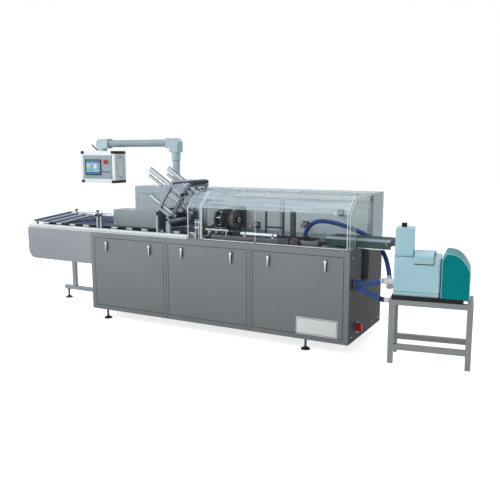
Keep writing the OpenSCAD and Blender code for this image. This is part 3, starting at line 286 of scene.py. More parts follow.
def braided(name, colour, turns=9, pitch=0.012):
    """A woven hose sleeve: two crossing spirals of yarn, from the tube's own coordinates."""
    material, tree, bsdf = shader(name, {"Roughness": 0.75})
    source = add_node(tree, "UVMap", {})
    yarns = []
    for hand in (1, -1):
        spiral = (2 * math.pi / pitch, hand * 2 * math.pi * turns, 0)
        yarns.append(worked(tree, "SINE", dot(tree, source.outputs["UV"], spiral)))
    level = carried(tree, worked(tree, "MAXIMUM", *yarns), (-1, 1), (0, 1))
    shades = [(0.2, tinted(colour, 0.55)), (0.9, tinted(colour, 1.15))]
    feed(tree, bsdf, {"Base Color": ramp(tree, level, shades)})
    bump(tree, bsdf, level, distance=0.0012, strength=0.6)
    return material


# Materials: colour, grain where brushed, lowest and highest roughness; painted shading is a direction and its
# stops of light and shade painted into the colour

BRIGHT = brushed("bright_steel", (0.8, 0.81, 0.82), DRAWN, (0.18, 0.3))
LIGHT_STEEL = brushed("satin_steel", (0.45, 0.46, 0.48), SATIN, (0.28, 0.4))
BLUE_STEEL = brushed("blue_steel", (0.26, 0.3, 0.36), SATIN, metallic=0.6)
GUIDE_STEEL = brushed("guide_steel", (0.5, 0.56, 0.62), SATIN, (0.2, 0.35), metallic=0.6, cloud=0.15)
SLIDE_DARK = brushed("slide_dark", (0.06, 0.075, 0.11), CROSSWISE, (0.3, 0.45))
DARK_STEEL = brushed("dark_steel", (0.12, 0.125, 0.13), EVEN, (0.3, 0.45))
ARM_DARK = painted("arm_collar", (0.28, 0.33, 0.34))
PALE_PANEL = painted("pale_panel", (0.42, 0.52, 0.58))
DARK_METAL = painted("dark_metal", (0.035, 0.037, 0.04), (0.3, 0.45), metallic=0.3)
GREEN = painted("belt_green", (0.012, 0.055, 0.042))
PANEL_LINE = painted("panel_lines", (0.25, 0.27, 0.3))
# Dark seams, trims, vents and glands, and the painted shadow lines at the glue tank's lid
SEAMS_AND_SHADOWS = painted("dark_seams_and_shadows", (0.03, 0.03, 0.032), (0.5, 0.65))
PLATE = painted("bare_plate", (0.7, 0.72, 0.73), (0.25, 0.35))
# The panes' edges and bends are pale strips painted as highlights
PANE_EDGE_HIGHLIGHT = painted("pane_edge_highlight", (0.78, 0.84, 0.86), (0.15, 0.25))
PANE_BEND_HIGHLIGHT = painted("pane_bend_highlight", (0.5, 0.58, 0.6), (0.15, 0.25))
BLACK = plastic("black_plastic", (0.01, 0.01, 0.012), (0.4, 0.55), gloss=0.2)
YELLOW = plastic("yellow_plastic", (0.75, 0.5, 0.02), (0.3, 0.4))
# The cover's rim is painted paler as a highlight on its rounded edge
TEAL_RIM_HIGHLIGHT = plastic("teal_rim_highlight", (0.3, 0.6, 0.64))
WHITE_PLASTIC = plastic("white_plastic", (0.78, 0.79, 0.8), (0.3, 0.45))
BELT_RUBBER = plastic("belt_rubber", (0.015, 0.075, 0.05), (0.55, 0.7))
HOSE = braided("hose_sleeve", (0.025, 0.08, 0.3))

CAP_COLOURS = {"blue": (0.02, 0.1, 0.5), "red": (0.6, 0.02, 0.03), "green": (0.02, 0.35, 0.1)}
SCREEN_COLOURS = {"blue": (0.22, 0.5, 0.68), "navy": (0.02, 0.08, 0.35), "yellow": (0.7, 0.6, 0.1),
                  "red": (0.6, 0.05, 0.05), "green": (0.1, 0.5, 0.2), "white": (0.75, 0.78, 0.8)}
CAPS = {tone: plastic(tone + "_cap", colour) for tone, colour in CAP_COLOURS.items()}
SCREEN = {tone: plastic("screen_" + tone, colour, (0.12, 0.2)) for tone, colour in SCREEN_COLOURS.items()}

# Painted shade: the cabinet, the trough, the latches and the hood darker towards the bottom, as if lit from
# above
CABINET_PAINTED_SHADE = (UP, (0.1, 0.7), (0.84, 1))
TROUGH_PAINTED_SHADE = (UP, (0.53, 0.85), (0.84, 1))
LATCH_PAINTED_SHADE = (UP, (0.67, 0.45), (0.74, 1))
HOOD_PAINTED_SHADE = (UP, (0.9, 0.6), (1.06, 1))
STEP = 0.005
# The arm's tube is darker than the blocks at its ends: painted shade on the round tube
TUBE_FROM, TUBE_TO, TUBE_SHADE_SHARE = -1.63, -0.883, 0.62
TUBE_PAINTED_SHADE = (RIGHT, (TUBE_FROM, 1), (TUBE_FROM + STEP, TUBE_SHADE_SHARE), (TUBE_TO - STEP, TUBE_SHADE_SHARE), (TUBE_TO, 1))
# The front panels behind the guards are paler, from this edge on: painted light that lifts the shade the
# guards cast, and partly a paler paint; the slant leaves out those at the back
PANEL_EDGE_X, PANEL_FRONT_Y, PANEL_SLANT = -0.365, 0.135, 10
PAINTED_LIGHT_FROM = PANEL_EDGE_X - PANEL_SLANT * PANEL_FRONT_Y
PANEL_PAINTED_LIGHT = ((1, -PANEL_SLANT, 0), (PAINTED_LIGHT_FROM - STEP, 0.58), (PAINTED_LIGHT_FROM + STEP, 1))

# The look of each slot in the record
LOOKS = {
    # The cabinet's sheets carry painted shade: darker towards the bottom, and the outer sheet darker and
    # duller on its end faces
    "stainless": brushed("stainless_sheet", (0.205, 0.228, 0.238), LENGTHWISE, (0.34, 0.46), 0.25, 0.06,
                         CABINET_PAINTED_SHADE, gloss=0.2, end=(0.57, 0.53, 0.55)),
    "stainless_door": brushed("stainless_doors", (0.2, 0.224, 0.234), UPRIGHT, (0.34, 0.46), 0.25, 0.06,
                              CABINET_PAINTED_SHADE, gloss=0.25),
    "bright_steel": BRIGHT, "light_steel": LIGHT_STEEL, "dark_metal": DARK_METAL,
    "red": plastic("red_plastic", (0.55, 0.012, 0.02)),
    "bucket_steel": brushed("bucket_steel", (0.3, 0.36, 0.46), CROSSWISE),
    "pale_panel": PALE_PANEL,
    "arm_grey": painted("arm_paint", (0.43, 0.58, 0.62), (0.3, 0.42)),
    "black": BLACK,
    "panel_white": painted("panel_shell", (0.76, 0.84, 0.87), (0.28, 0.4), metallic=0.1),
    "panel_face": painted("panel_face", (0.27, 0.36, 0.41), (0.3, 0.42), metallic=0.1),
    "screen": plastic("screen_bezel", (0.02, 0.022, 0.025)),
    "button": plastic("button_plastic", (0.08, 0.2, 0.1)),
    "clear_guard": clear_sheet("clear_guard", (0.7, 0.88, 0.96), facing=0.004, grazing=0.05),
    "green": GREEN, "belt": BELT_RUBBER,
    "stand_grey": painted("stand_paint", (0.25, 0.272, 0.285), metallic=0.2),
    "aqua": painted("aqua_paint", (0.44, 0.72, 0.82), (0.35, 0.48)),
    "teal": plastic("teal_plastic", (0.0, 0.27, 0.29), (0.3, 0.42), gloss=0.06),
    "fitting": WHITE_PLASTIC, "hose": HOSE,
}

# Nodes whose look in the photo differs from the rest of their slot
OWN_LOOKS = {
    "magazine_frame": BLUE_STEEL, "belt_rail": BLUE_STEEL, "carton_bed": DARK_STEEL,
    "magazine_bars": GUIDE_STEEL, "hold_down_tube": GUIDE_STEEL,
    "panel_handles": brushed("handle_steel", (0.42, 0.48, 0.52), UPRIGHT, (0.25, 0.35), 0.5),
    # Painted shade: the latches, the trough and the hood darker towards the bottom
    "door_latches": brushed("latch_steel", (0.6, 0.62, 0.64), UPRIGHT, (0.2, 0.32), 0.7, painted_shading=LATCH_PAINTED_SHADE),
    "infeed_trough": brushed("stainless_trough", (0.27, 0.295, 0.32), LENGTHWISE, (0.32, 0.44), 0.4, 0.08,
                             TROUGH_PAINTED_SHADE),
    "feeder_wheel": painted("wheel_brown", (0.03, 0.022, 0.018), (0.3, 0.45)),
    "guard_end_right": clear_sheet("green_guard", (0.5, 0.72, 0.68), facing=0.08, grazing=0.3),
    "drive_cover": brushed("hood_steel", (0.215, 0.265, 0.29), LENGTHWISE, (0.28, 0.42), 0.5, 0.2, HOOD_PAINTED_SHADE),
    "front_rail": brushed("rail_steel", (0.62, 0.67, 0.69), DRAWN, metallic=0.4, cloud=0.08),
    "guide_brackets": brushed("rod_steel", (0.4, 0.44, 0.47), DRAWN, (0.2, 0.32), 0.6),
    "infeed_leg": brushed("leg_steel", (0.24, 0.275, 0.305), SATIN, metallic=0.4),
    # Painted light on the panels behind the guards, partly a paler paint
    "pusher_panels": painted("inner_panel", (0.78, 0.87, 0.94), painted_shading=PANEL_PAINTED_LIGHT),
    # Painted shade on the arm's tube
    "swing_arm": painted("arm_tube", (0.42, 0.56, 0.6), (0.3, 0.42), painted_shading=TUBE_PAINTED_SHADE),
}


def dress_nodes():
    """Every CAD node takes its own look or the look of its slot in the record."""
    for part in frame["record"]["subparts"]:
        looks = frame["nodes"][part["node"]].data.materials
        looks.clear()
        looks.append(OWN_LOOKS.get(part["node"], LOOKS[part["material_slot"]]))


dress_nodes()


# Meshes

def add_ring(made, centre, side, up, radii):
    """Vertices round a centre, one for each radius."""
    turns = [2 * math.pi * k / len(radii) for k in range(len(radii))]
    return [made.verts.new(centre + (side * math.cos(a) + up * math.sin(a)) * r) for a, r in zip(turns, radii)]


def skin(made, rings, capped=True):
    """Faces from each ring of vertices to the next; a ring of one vertex is a tip."""
    for below, above in zip(rings, rings[1:]):
        count = max(len(below), len(above))
        for k in range(count):
            steps = ((below, k), (below, k + 1), (above, k + 1), (above, k))
            made.faces.new(list(dict.fromkeys(ring[step % len(ring)] for ring, step in steps)))
    if capped:
        for ring in (rings[0], rings[-1]):
            if len(ring) > 1:
                made.faces.new(ring)
    bmesh.ops.recalc_face_normals(made, faces=made.faces)


def to_mesh(made):
    mesh = bpy.data.meshes.new("part")
    made.to_mesh(mesh)
    made.free()
    return mesh


def swept_tube(points, diameter, sides=20):
    """A tube's mesh along the points, with coordinates in metres along it and in turns round it."""
    made = bmesh.new()
    layer = made.loops.layers.uv.new("UVMap")
    rings = []
    run = [0.0]
    side = Vector((0, 1, 0))
    for i, point in enumerate(points):
        ahead = (points[min(i + 1, len(points) - 1)] - points[max(i - 1, 0)]).normalized()
        side = (side - side.dot(ahead) * ahead).normalized()
        rings.append(add_ring(made, point, side, ahead.cross(side), [diameter / 2] * sides))
        if i:
            run.append(run[-1] + (point - points[i - 1]).length)
    for i, k in product(range(len(rings) - 1), range(sides)):
        n = (k + 1) % sides
        face = made.faces.new((rings[i][k], rings[i][n], rings[i + 1][n], rings[i + 1][k]))
        face.smooth = True
        places = ((i, k), (i, k + 1), (i + 1, k + 1), (i + 1, k))
        for loop, (ring, step) in zip(face.loops, places):
            loop[layer].uv = (run[ring], step / sides)
    made.faces.new(reversed(rings[0]))
    made.faces.new(rings[-1])
    bmesh.ops.recalc_face_normals(made, faces=made.faces)
    return to_mesh(made)


def add_piece(name, mesh, material, body="machine"):
    """A mesh as a piece that rides on a body."""
    mesh.name = name
    mesh.materials.append(material)
    piece = bpy.data.objects.new(name, mesh)
    bpy.context.scene.collection.objects.link(piece)
    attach(piece, body)
    return piece


FORMS = []


class Form:
    """A piece put together from solids, in millimetres from the cabinet's corner; turn moves them as one."""

    def __init__(self, name, material, body="machine", turn=Matrix()):
        self.name, self.material, self.body, self.turn = name, material, body, turn
        self.made = bmesh.new()
        FORMS.append(self)

    def take(self, mesh):
        mesh.transform(self.turn)
        self.made.from_mesh(mesh)
        bpy.data.meshes.remove(mesh)

    def block(self, low, high, cut=1.0):
        """A box between two corners with rounded edges."""
        part = bmesh.new()
        bmesh.ops.create_cube(part, size=1)
        low, high = Vector(low), Vector(high)
        size = high - low
        for vert in part.verts:
            vert.co = low + Vector((vert.co[i] + 0.5) * size[i] for i in range(3))
        cut = min(cut, 0.3 * min(size))
        bmesh.ops.bevel(part, geom=part.edges[:], offset=cut, segments=2, affect="EDGES", profile=0.6)
        self.take(to_mesh(part))

    def border(self, low, high, wide, cut):
        """Four bars inside an upright rectangle that faces the front."""
        (x0, y0, z0), (x1, y1, z1) = low, high
        self.block((x0, y0, z0), (x0 + wide, y1, z1), cut)
        self.block((x1 - wide, y0, z0), (x1, y1, z1), cut)
        self.block((x0, y0, z0), (x1, y1, z0 + wide), cut)
        self.block((x0, y0, z1 - wide), (x1, y1, z1), cut)

    def prism(self, outline, axis, start, end, cut=0.6):
        """A flat outline, with places in the other two axes, drawn out along one."""
        part = bmesh.new()
        rings = []
        for level in (start, end):
            rings.append([part.verts.new((*place[:axis], level, *place[axis:])) for place in outline])
        skin(part, rings)
        if cut:
            bmesh.ops.bevel(part, geom=part.edges[:], offset=cut, segments=1, affect="EDGES")
        self.take(to_mesh(part))

    def turned(self, rows, places, way, capped=True):
        """Rings round a way from one place or a list of them, each ring a height and its radii."""
        ahead = Vector(way)
        side = ahead.orthogonal().normalized()
        up = ahead.cross(side)
        for place in places if isinstance(places, list) else [places]:
            part = bmesh.new()
            rings = [add_ring(part, Vector(place) + ahead * height, side, up, radii) for height, radii in rows]
            skin(part, rings if capped else rings + rings[:1], capped)
            self.take(to_mesh(part))

    def lathe(self, profile, places, way, sides=28):
        """A turned solid: (radius, height) steps along the way; a radius of 0 is a tip."""
        self.turned([(height, [radius] * (sides if radius else 1)) for radius, height in profile], places, way)

    def ring(self, places, way, inner, outer, height, sides=32):
        """A flat ring with softened rims."""
        soft = min(0.25 * height, 0.25 * (outer - inner))
        steps = [(inner, 0), (outer, 0), (outer, height - soft), (outer - soft, height),
                 (inner + soft, height), (inner, height - soft)]
        self.turned([(level, [radius] * sides) for radius, level in steps], places, way, capped=False)

    def screw(self, places, way, radius):
        """A button-head screw with a socket."""
        shares = [(0, 0.15), (0.42, 0.15), (0.42, 0.55), (0.7, 0.5), (0.95, 0.22), (1, 0)]
        self.lathe([(a * radius, b * radius) for a, b in shares], places, way, 18)

    def nut(self, places, way, radius):
        """A hexagon bolt head on a washer."""
        washer = [(1.35, 0), (1.35, 0.18), (1.05, 0.2)]
        head = [(1, 0.18), (1, 0.72), (0.86, 0.85), (0, 0.85)]
        for shares, sides in ((washer, 24), (head, 6)):
            self.lathe([(a * radius, b * radius) for a, b in shares], places, way, sides)

    def knurl(self, places, way, radius, height, teeth=18):
        """A grip knob with teeth round its rim and a dished top."""
        steps = ((0.9, 0), (1.0, 0.12), (1.0, 0.82), (0.88, 1.0), (0.5, 0.94))
        rim = [radius * (1.0 if k % 2 else 0.93) for k in range(2 * teeth)]
        self.turned([(height * level, [share * r for r in rim]) for share, level in steps], places, way)

    def gear(self, places, way, radius, thick, teeth=22):
        """A toothed wheel."""
        rim = [radius if k % 4 in (1, 2) else 0.9 * radius for k in range(4 * teeth)]
        self.turned([(0, rim), (thick, rim)], places, way)

    def tube(self, points, diameter, sides=16):
        self.take(swept_tube([Vector(point) for point in points], diameter, sides))

    def finish(self):
        """The mesh as a piece on its body, in the frame's metres."""
        FORMS.remove(self)
        mesh = to_mesh(self.made)
        mesh.transform(Matrix.Translation(CORNER) @ Matrix.Scale(0.001, 4))
        mesh.shade_smooth()
        mesh.set_sharp_from_angle(angle=math.radians(38))
        return add_piece(self.name, mesh, self.material, self.body)


# Places

def spaced(start, end, count):
    return [start + (end - start) * i / (count - 1) for i in range(count)]


def grid(*spans):
    """The places of a grid; each of its three spans is a number or several."""
    return list(product(*[span if isinstance(span, (list, tuple)) else [span] for span in spans]))


def round_places(axis, centre, count, radius, first=0):
    """Places spaced evenly round an X or Z axis, from a first turn in degrees."""
    away = Vector((radius, 0, 0) if axis == "Z" else (0, radius, 0))
    turns = [math.radians(first + 360 / count * i) for i in range(count)]
    return [Vector(centre) + Matrix.Rotation(turn, 3, axis) @ away for turn in turns]


def shifted_line(line, out):
    """A bent line moved sideways, its bends mitred."""
    places = [Vector(place) for place in line]
    normals = [(b - a).normalized().orthogonal() for a, b in zip(places, places[1:])]
    moved = []
    for place, before, after in zip(places, normals[:1] + normals, normals + normals[-1:]):
        moved.append(tuple(place + out * (before + after) / (1 + before.dot(after))))
    return moved


def band_outline(line, inner, outer):
    """The outline of a strip along a bent line, from one shift of the line to another."""
    return shifted_line(line, outer) + list(reversed(shifted_line(line, inner)))


# Cabinet: latch rosettes and grip edges, a bare plate, seams, screws

CABINET_L, CABINET_W, TABLE_Z = 2580, 850, 840
DOOR_X, DOOR_PITCH, DOOR_W = 45, 846.67, 796.67
LATCH_IN, ROSETTE_Z = 150, 746
LATCH_XS = [DOOR_X + DOOR_PITCH * i + inset for i in range(3) for inset in (LATCH_IN, DOOR_W - LATCH_IN)]
GRIP_X, GRIP_T, GRIP_DEPTHS, GRIP_Z = 7.7, 1.9, (9, 17.4), (671, 733)
PLATE_X, PLATE_Z = (2140, 2492), (142, 282)
SEAM_XS, SEAM_TOP = (871.7, 1718.3), 826
SWITCH_Y, SWITCH_Z = 205, 200


def dress_latches():
    rosettes = Form("latch_rosettes", DARK_STEEL)
    grips = Form("latch_grip_edges", BLACK)
    for y, way in ((0, FRONT), (CABINET_W, BACK)):
        rosettes.ring(grid(LATCH_XS, y, ROSETTE_Z), way, 12.2, 20, 3)
        near, far = sorted(y + way[1] * depth for depth in GRIP_DEPTHS)
        for x, side in product(LATCH_XS, (-GRIP_X - GRIP_T, GRIP_X)):
            grips.block((x + side, near, GRIP_Z[0]), (x + side + GRIP_T, far, GRIP_Z[1]), 0.5)


def dress_plate():
    (x0, x1), (z0, z1) = PLATE_X, PLATE_Z
    Form("bare_plate", PLATE).block((x0, -1.6, z0), (x1, -0.1, z1), 0.7)
    border = Form("bare_plate_border", DARK_STEEL)
    border.border((x0 + 6, -2.2, z0 + 6), (x1 - 6, -1.2, z1 - 6), 4, 0.3)
    rivets = Form("bare_plate_rivets", BRIGHT)
    rivets.screw(grid((x0 + 16, x1 - 16), -1.6, (z0 + 15, z1 - 15)), FRONT, 4)


def dress_cabinet():
    seams = Form("cabinet_seams", SEAMS_AND_SHADOWS)
    seams.block((CABINET_L, 418, 100), (CABINET_L + 1.2, 421.5, SEAM_TOP), 0.4)
    for x in SEAM_XS:
        seams.block((x - 1.5, -1.2, 104), (x + 1.5, 0.2, SEAM_TOP), 0.4)
    screws = Form("cabinet_screws", BRIGHT)
    screws.screw(grid((60, 640, 1290, 1930, 2520), 0.2, TABLE_Z - 6), FRONT, 3.4)
    screws.screw(grid(CABINET_L, (70, 240, 600, 780), (150, 780)), RIGHT, 5)
    switch = Form("switch_ring", DARK_STEEL)
    switch.screw(grid(CABINET_L + 8, (SWITCH_Y - 24, SWITCH_Y + 24), (SWITCH_Z - 24, SWITCH_Z + 24)), RIGHT, 4)
    switch.ring((CABINET_L + 0.2, SWITCH_Y, SWITCH_Z), RIGHT, 36, 50, 3)


dress_latches()
dress_plate()
dress_cabinet()


# Infeed lane: rail screws, chain links, knobs, and the trims of slide and hood

LOOP_Z, LOOP_R, BUCKET_H, BUCKET_HALF, SLIDE_GAP = 740, 95, 40, 50, 4
SLIDE_X, SLIDE_Y, SLIDE_RUN, SLIDE_END_Z = -830, 84, 510, TABLE_Z + 90.5
SLIDE_Z = LOOP_Z + math.hypot(LOOP_R + BUCKET_H, BUCKET_HALF) + SLIDE_GAP
SLIDE_RISE = math.atan2(SLIDE_END_Z - SLIDE_Z, SLIDE_RUN)
SLIDE = Matrix.Translation((SLIDE_X, SLIDE_Y, SLIDE_Z)) @ Matrix.Rotation(SLIDE_RISE, 4, "X")
RIB_PITCH, RIB_W, RIB_H, SHEET_T = 144.33, 7, 18, 4
BUCKET_PITCH, BUCKET_LINK_X = 25.4, (-640, 1080)


def add_links(form, outline, xs, ys, z):
    """The side plates of a chain, one at every place."""
    for x, y in product(xs, ys):
        form.prism([(x + a, z + b) for a, b in outline], 1, y, y + 1, 0)


def waisted_link(pitch):
    """A link's outline, narrower between its two pins."""
    half = [(0, 5.6), (5, 7.6), (10, 5.8), (pitch - 10, 5.8), (pitch - 5, 7.6), (pitch, 5.6)]
    return [(a, -b) for a, b in half] + list(reversed(half))


def dress_infeed():
    Form("rail_screws", DARK_STEEL).screw(grid(spaced(-770, 1060, 16), 20, TABLE_Z + 36), UP, 5.5)
    Form("rail_line", PANEL_LINE).block((-806, -0.8, TABLE_Z + 8), (1092, 0.4, TABLE_Z + 13), 0.4)

    low, high = corners("bucket_chain")
    start, end = BUCKET_LINK_X
    step = 1.06 * BUCKET_PITCH
    xs = [start + step * i for i in range(math.ceil((end - start) / step))]
    ys = (low[1] - 1.2, low[1] + 18.2, high[1] - 19.2, high[1] + 0.2)
    add_links(Form("chain_links", DARK_STEEL), waisted_link(BUCKET_PITCH), xs, ys, high[2] - 10)

    knobs = Form("guide_knobs", BLACK)
    knobs.knurl(grid((-770, -470), 635, 958), UP, 17, 15)
    knobs.knurl(grid((48, 93), 41.5, 996), FRONT, 12, 14)


def dress_slide():
    stripes = Form("slide_stripes", SLIDE_DARK, turn=SLIDE)
    low, high = SHEET_T + 0.05, SHEET_T + 1.2
    for i in range(3):
        x = RIB_W + i * RIB_PITCH
        length = 490 - 34 * i
        stripes.block((x + 66, 3, low), (x + 134, length, high), 0.4)
        stripes.block((x + 2, 3, low), (x + 12, length + 10, high), 0.4)
    trims = Form("slide_edge_trims", BRIGHT, turn=SLIDE)
    for i in range(4):
        x = i * RIB_PITCH
        trims.block((x - 0.4, 4, RIB_H - 0.4), (x + RIB_W + 0.4, 528 - 40 * i, RIB_H + 1.4), 0.5)


def dress_hood():
    (x0, y0, z0), (x1, y1, z1) = corners("drive_cover")
    Form("hood_foot_trim", SEAMS_AND_SHADOWS).block((x0 + 1, y0 - 1, z0), (x1 - 1, y0 + 0.2, z0 + 8), 0.4)
    screws = Form("hood_screws", BRIGHT)
    screws.screw(grid((x0 + 16, x1 - 16), y0, (z0 + 22, z1 - 16)), FRONT, 4.5)
    screws.screw(grid(spaced(x0 + 30, x1 - 30, 4), y1 - 20, z1), UP, 4.5)


dress_infeed()
dress_slide()
dress_hood()


# Tall cabinet and arm: panel screws, louvres at the back, collars and bolts

TALL_PANELS, TALL_GAP = 3, 48
LOUVRE_ROWS, LOUVRE_PITCH, LOUVRE_W, LOUVRE_H = 6, 26, 180, 16
ARM_LEFT, ARM_RIGHT, ARM_Y, ARM_Z, ARM_BORE = -430, 510, 705, 1675, 37.2
FLANGE_Z = 1262


def dress_tall_cabinet():
    (x0, y0, z0), (x1, y1, z1) = corners("pusher_panels")
    width = (x1 - x0 - (TALL_PANELS - 1) * TALL_GAP) / TALL_PANELS
    screws = Form("tall_panel_screws", BRIGHT)
    louvres = Form("rear_louvres", PALE_PANEL)
    for i in range(TALL_PANELS):
        left = x0 + i * (width + TALL_GAP)
        for y, way in ((y0, FRONT), (y1, BACK)):
            xs = (left + 16, left + width / 2, left + width - 16)
            screws.screw(grid(xs, y, (z0 + 16, z1 - 16)), way, 5)
        for row, x in product(range(LOUVRE_ROWS), (left + 150, left + 450)):
            z = z0 + 70 + row * LOUVRE_PITCH
            louvres.prism([(y1 - 0.5, z), (y1 + 7, z), (y1 - 0.5, z + LOUVRE_H)], 0, x, x + LOUVRE_W, 0.8)


def dress_arm():
    collars = Form("arm_collars", ARM_DARK, "arm")
    collars.ring(grid((ARM_LEFT + 92, ARM_RIGHT - 104), ARM_Y, ARM_Z), RIGHT, ARM_BORE, 43, 12)
    for x in (ARM_LEFT, ARM_RIGHT):
        collars.screw(grid((x - 30, x + 30), ARM_Y - 48, (ARM_Z - 28, ARM_Z + 26)), FRONT, 5)
    flange = round_places("Z", (ARM_RIGHT, ARM_Y, FLANGE_Z), 6, 54, 30)
    Form("post_flange_bolts", BRIGHT).nut(flange, UP, 6)
    rings = Form("post_rings", ARM_DARK)
    rings.ring((ARM_RIGHT, ARM_Y, 1500), UP, ARM_BORE, 41, 3)
    rings.ring((ARM_RIGHT, ARM_Y, 1440), UP, ARM_BORE, 40, 2)


dress_tall_cabinet()
dress_arm()


# Operator panel: screen fields, button caps, trims, lines and screws, which swing with it

GLASS_RIM, FIELD_RIM = 14.5, 18
# Fields on the screen, from its lower left corner: left, bottom, right, top
SCREEN_FIELDS = {
    "yellow": [(10, 62, 44, 92), (110, 24, 140, 40)],
    "red": [(60, 66, 84, 84), (150, 70, 166, 90)],
    "green": [(12, 24, 40, 42), (60, 24, 88, 42)],
    "white": [(98, 54, 138, 92)],
}
FIELD_NAMES = {"navy": "screen_bar", "white": "screen_field"}


def dress_screen():
    (x0, y0, z0), (x1, y1, z1) = corners("panel_screen")
    glass = Form("screen_glass", SCREEN["blue"], "panel")
    glass.block((x0 + GLASS_RIM, y0 + 1.6, z0 + GLASS_RIM), (x1 - GLASS_RIM, y0 + 2.8, z1 - GLASS_RIM), 0.3)
    wide, tall = x1 - x0 - 2 * FIELD_RIM, z1 - z0 - 2 * FIELD_RIM
    bars = {"navy": [(0, tall - 16, wide, tall - 2), (0, 0, wide, 14)]}
    start = Vector((x0 + FIELD_RIM, y0 + 1, z0 + FIELD_RIM))
    for tone, spans in {**bars, **SCREEN_FIELDS}.items():
        field = Form(FIELD_NAMES.get(tone, "screen_" + tone), SCREEN[tone], "panel")
        for left, bottom, right, top in spans:
            field.block(start + Vector((left, 0, bottom)), start + Vector((right, 0.8, top)), 0.3)


def dress_buttons():
    (x0, y0, z0), (x1, y1, z1) = corners("panel_buttons")
    rims = Form("button_rims", BRIGHT, "panel")
    for x, tone in ((x0 + 12, "blue"), ((x0 + x1) / 2, "red"), (x1 - 12, "green")):
        cap = Form(tone + "_button", CAPS[tone], "panel")
        cap.lathe([(9.5, 0), (9.5, 2.4), (8.4, 3.4), (0, 2.9)], (x, y0, (z0 + z1) / 2), FRONT)
        rims.ring((x, y1 - 0.2, (z0 + z1) / 2), FRONT, 12.1, 16, 4)
    (x0, y0, z0), (x1, y1, z1) = corners("emergency_stop")
    stop = Form("stop_ring", YELLOW, "panel")
    stop.ring(((x0 + x1) / 2, y1 - 0.2, (z0 + z1) / 2), FRONT, 13.4, 25, 2.5)


def dress_panel():
    (x0, y0, z0), (x1, y1, z1) = corners("panel_face")
    low, high = (x0 - 4, y0 - 0.6, z0 - 4), (x1 + 4, y0 + 2, z1 + 4)
    Form("face_trim", PANEL_LINE, "panel").border(low, high, 5.5, 0.5)

    (x0, y0, z0), (x1, y1, z1) = corners("panel_box")
    screws = Form("panel_screws", DARK_STEEL, "panel")
    for y, way, radius in ((y1, BACK, 5), (y0, FRONT, 4)):
        screws.screw(grid((x0 + 30, x1 - 30), y, (z0 + 44, z1 - 44)), way, radius)
    lines = Form("panel_lines", PANEL_LINE, "panel")
    for x in (x0, x1):
        for y in (y0 + 34, y1 - 34):
            lines.block((x - 0.9, y - 1.4, z0 + 34), (x + 0.9, y + 1.4, z1 - 34), 0.3)
        for z in (z0 + 33.4, z1 - 36):
            lines.block((x - 0.9, y0 + 34, z), (x + 0.9, y1 - 34, z + 2.6), 0.3)
    for x in (x0 + 48, x1 - 48):
        lines.block((x - 1.2, y1 - 0.6, z0 + 32), (x + 1.2, y1 + 0.8, z1 - 32), 0.3)

    (x0, y0, z0), (x1, y1, z1) = corners("panel_handles")
    ends = grid((x0 + 40, x1 - 40), y0, (z0 + 9, z1 - 9))
    Form("handle_screws", DARK_STEEL, "panel").screw(ends, FRONT, 4)


dress_screen()
dress_buttons()
dress_panel()


# Magazine, in its own tilted frame: dark edges on the bars, bolts, knobs, rods, slots and gussets

MAGAZINE = Matrix.Translation((880, 42, 960)) @ Matrix.Rotation(-math.radians(57), 4, "Y")
MAGAZINE_W, RAIL_MID = 330, 12
# Guide bars: place along the frame, width, length
GUIDES = [(268, 34, 440), (226, 16, 420), (70, 30, 310)]
GUIDE_IN, GUIDE_T, STRIP_W = 24, 8, 3.8


def magazine_form(name, material):
    return Form("magazine_" + name, material, turn=MAGAZINE)


def dress_magazine():
    strips = magazine_form("strips", BLACK)
    bolts = magazine_form("bolts", DARK_STEEL)
    for x, w, length in GUIDES:
        for y, x0 in product((GUIDE_IN, MAGAZINE_W - GUIDE_IN - GUIDE_T), (x - 3.4, x + w - 0.4)):
            strips.block((x0, y - 1.6, -10), (x0 + STRIP_W, y + GUIDE_T + 1.6, length - 4), 0.6)
        bolts.screw(grid(x + w / 2, GUIDE_IN, (60, 0.6 * length)), FRONT, 5)
    for y, way in ((0, FRONT), (MAGAZINE_W, BACK)):
        bolts.nut(grid((12, 120, 230, 340, 395), y, RAIL_MID), way, 7)
    knobs = magazine_form("knobs", BLACK)
    knobs.lathe([(6, 0), (6, 10)], grid((60, 300), 0, RAIL_MID), FRONT, 16)
    knobs.knurl(grid((60, 300), -9, RAIL_MID), FRONT, 14, 14)
    rods = magazine_form("rods", BRIGHT)
    rod_xs = (110, 190, 300, 352)
    for x in rod_xs:
        rods.tube([(x, 20, RAIL_MID), (x, MAGAZINE_W - 20, RAIL_MID)], 10, 14)
    magazine_form("collars", BLACK).ring(grid(rod_xs, (60, 165, 262), RAIL_MID), BACK, 5.1, 10, 9)
    slots = magazine_form("slots", BLACK)
    for y, z in product((-1.2, MAGAZINE_W - 0.2), (3, 16)):
        slots.block((26, y, z), (380, y + 1.4, z + 5), 0.4)
    gussets = magazine_form("gussets", BLUE_STEEL)
    for (x0, x1), y in product(((24, 62), (383, 345)), (1.5, MAGAZINE_W - 4.5)):
        gussets.prism([(x0, 24), (x1, 24), (x0, 62)], 1, y, y + 3, 0.5)


dress_magazine()


# Carton lane: chain, cylinders on the back wall, feeder and opener drive, guide rods

CARTON_PITCH = 19.05
CARTON_LINK = [(0, 10), (4, 8), (15, 8), (19, 10), (19, 19), (15, 21), (4, 21), (0, 19)]
SPROCKET_Z, BED_TOP_Z = TABLE_Z + 22, TABLE_Z + 45
WALL_Y, MOUNT_Y = 559.5, 545
# Cylinders: place along the machine, height, radius, length
CYLINDERS = [(1190, 925, 20, 120), (1190, 1000, 20, 120), (1330, 960, 16, 100),
             (1500, 930, 18, 110), (1980, 960, 18, 110), (2300, 1080, 16, 100)]
HEAD_X = corners("feeder_head")[0][0]
HEAD_Y, HEAD_Z = 200, 1010
PINION_Y, PINION_Z = 268, 935
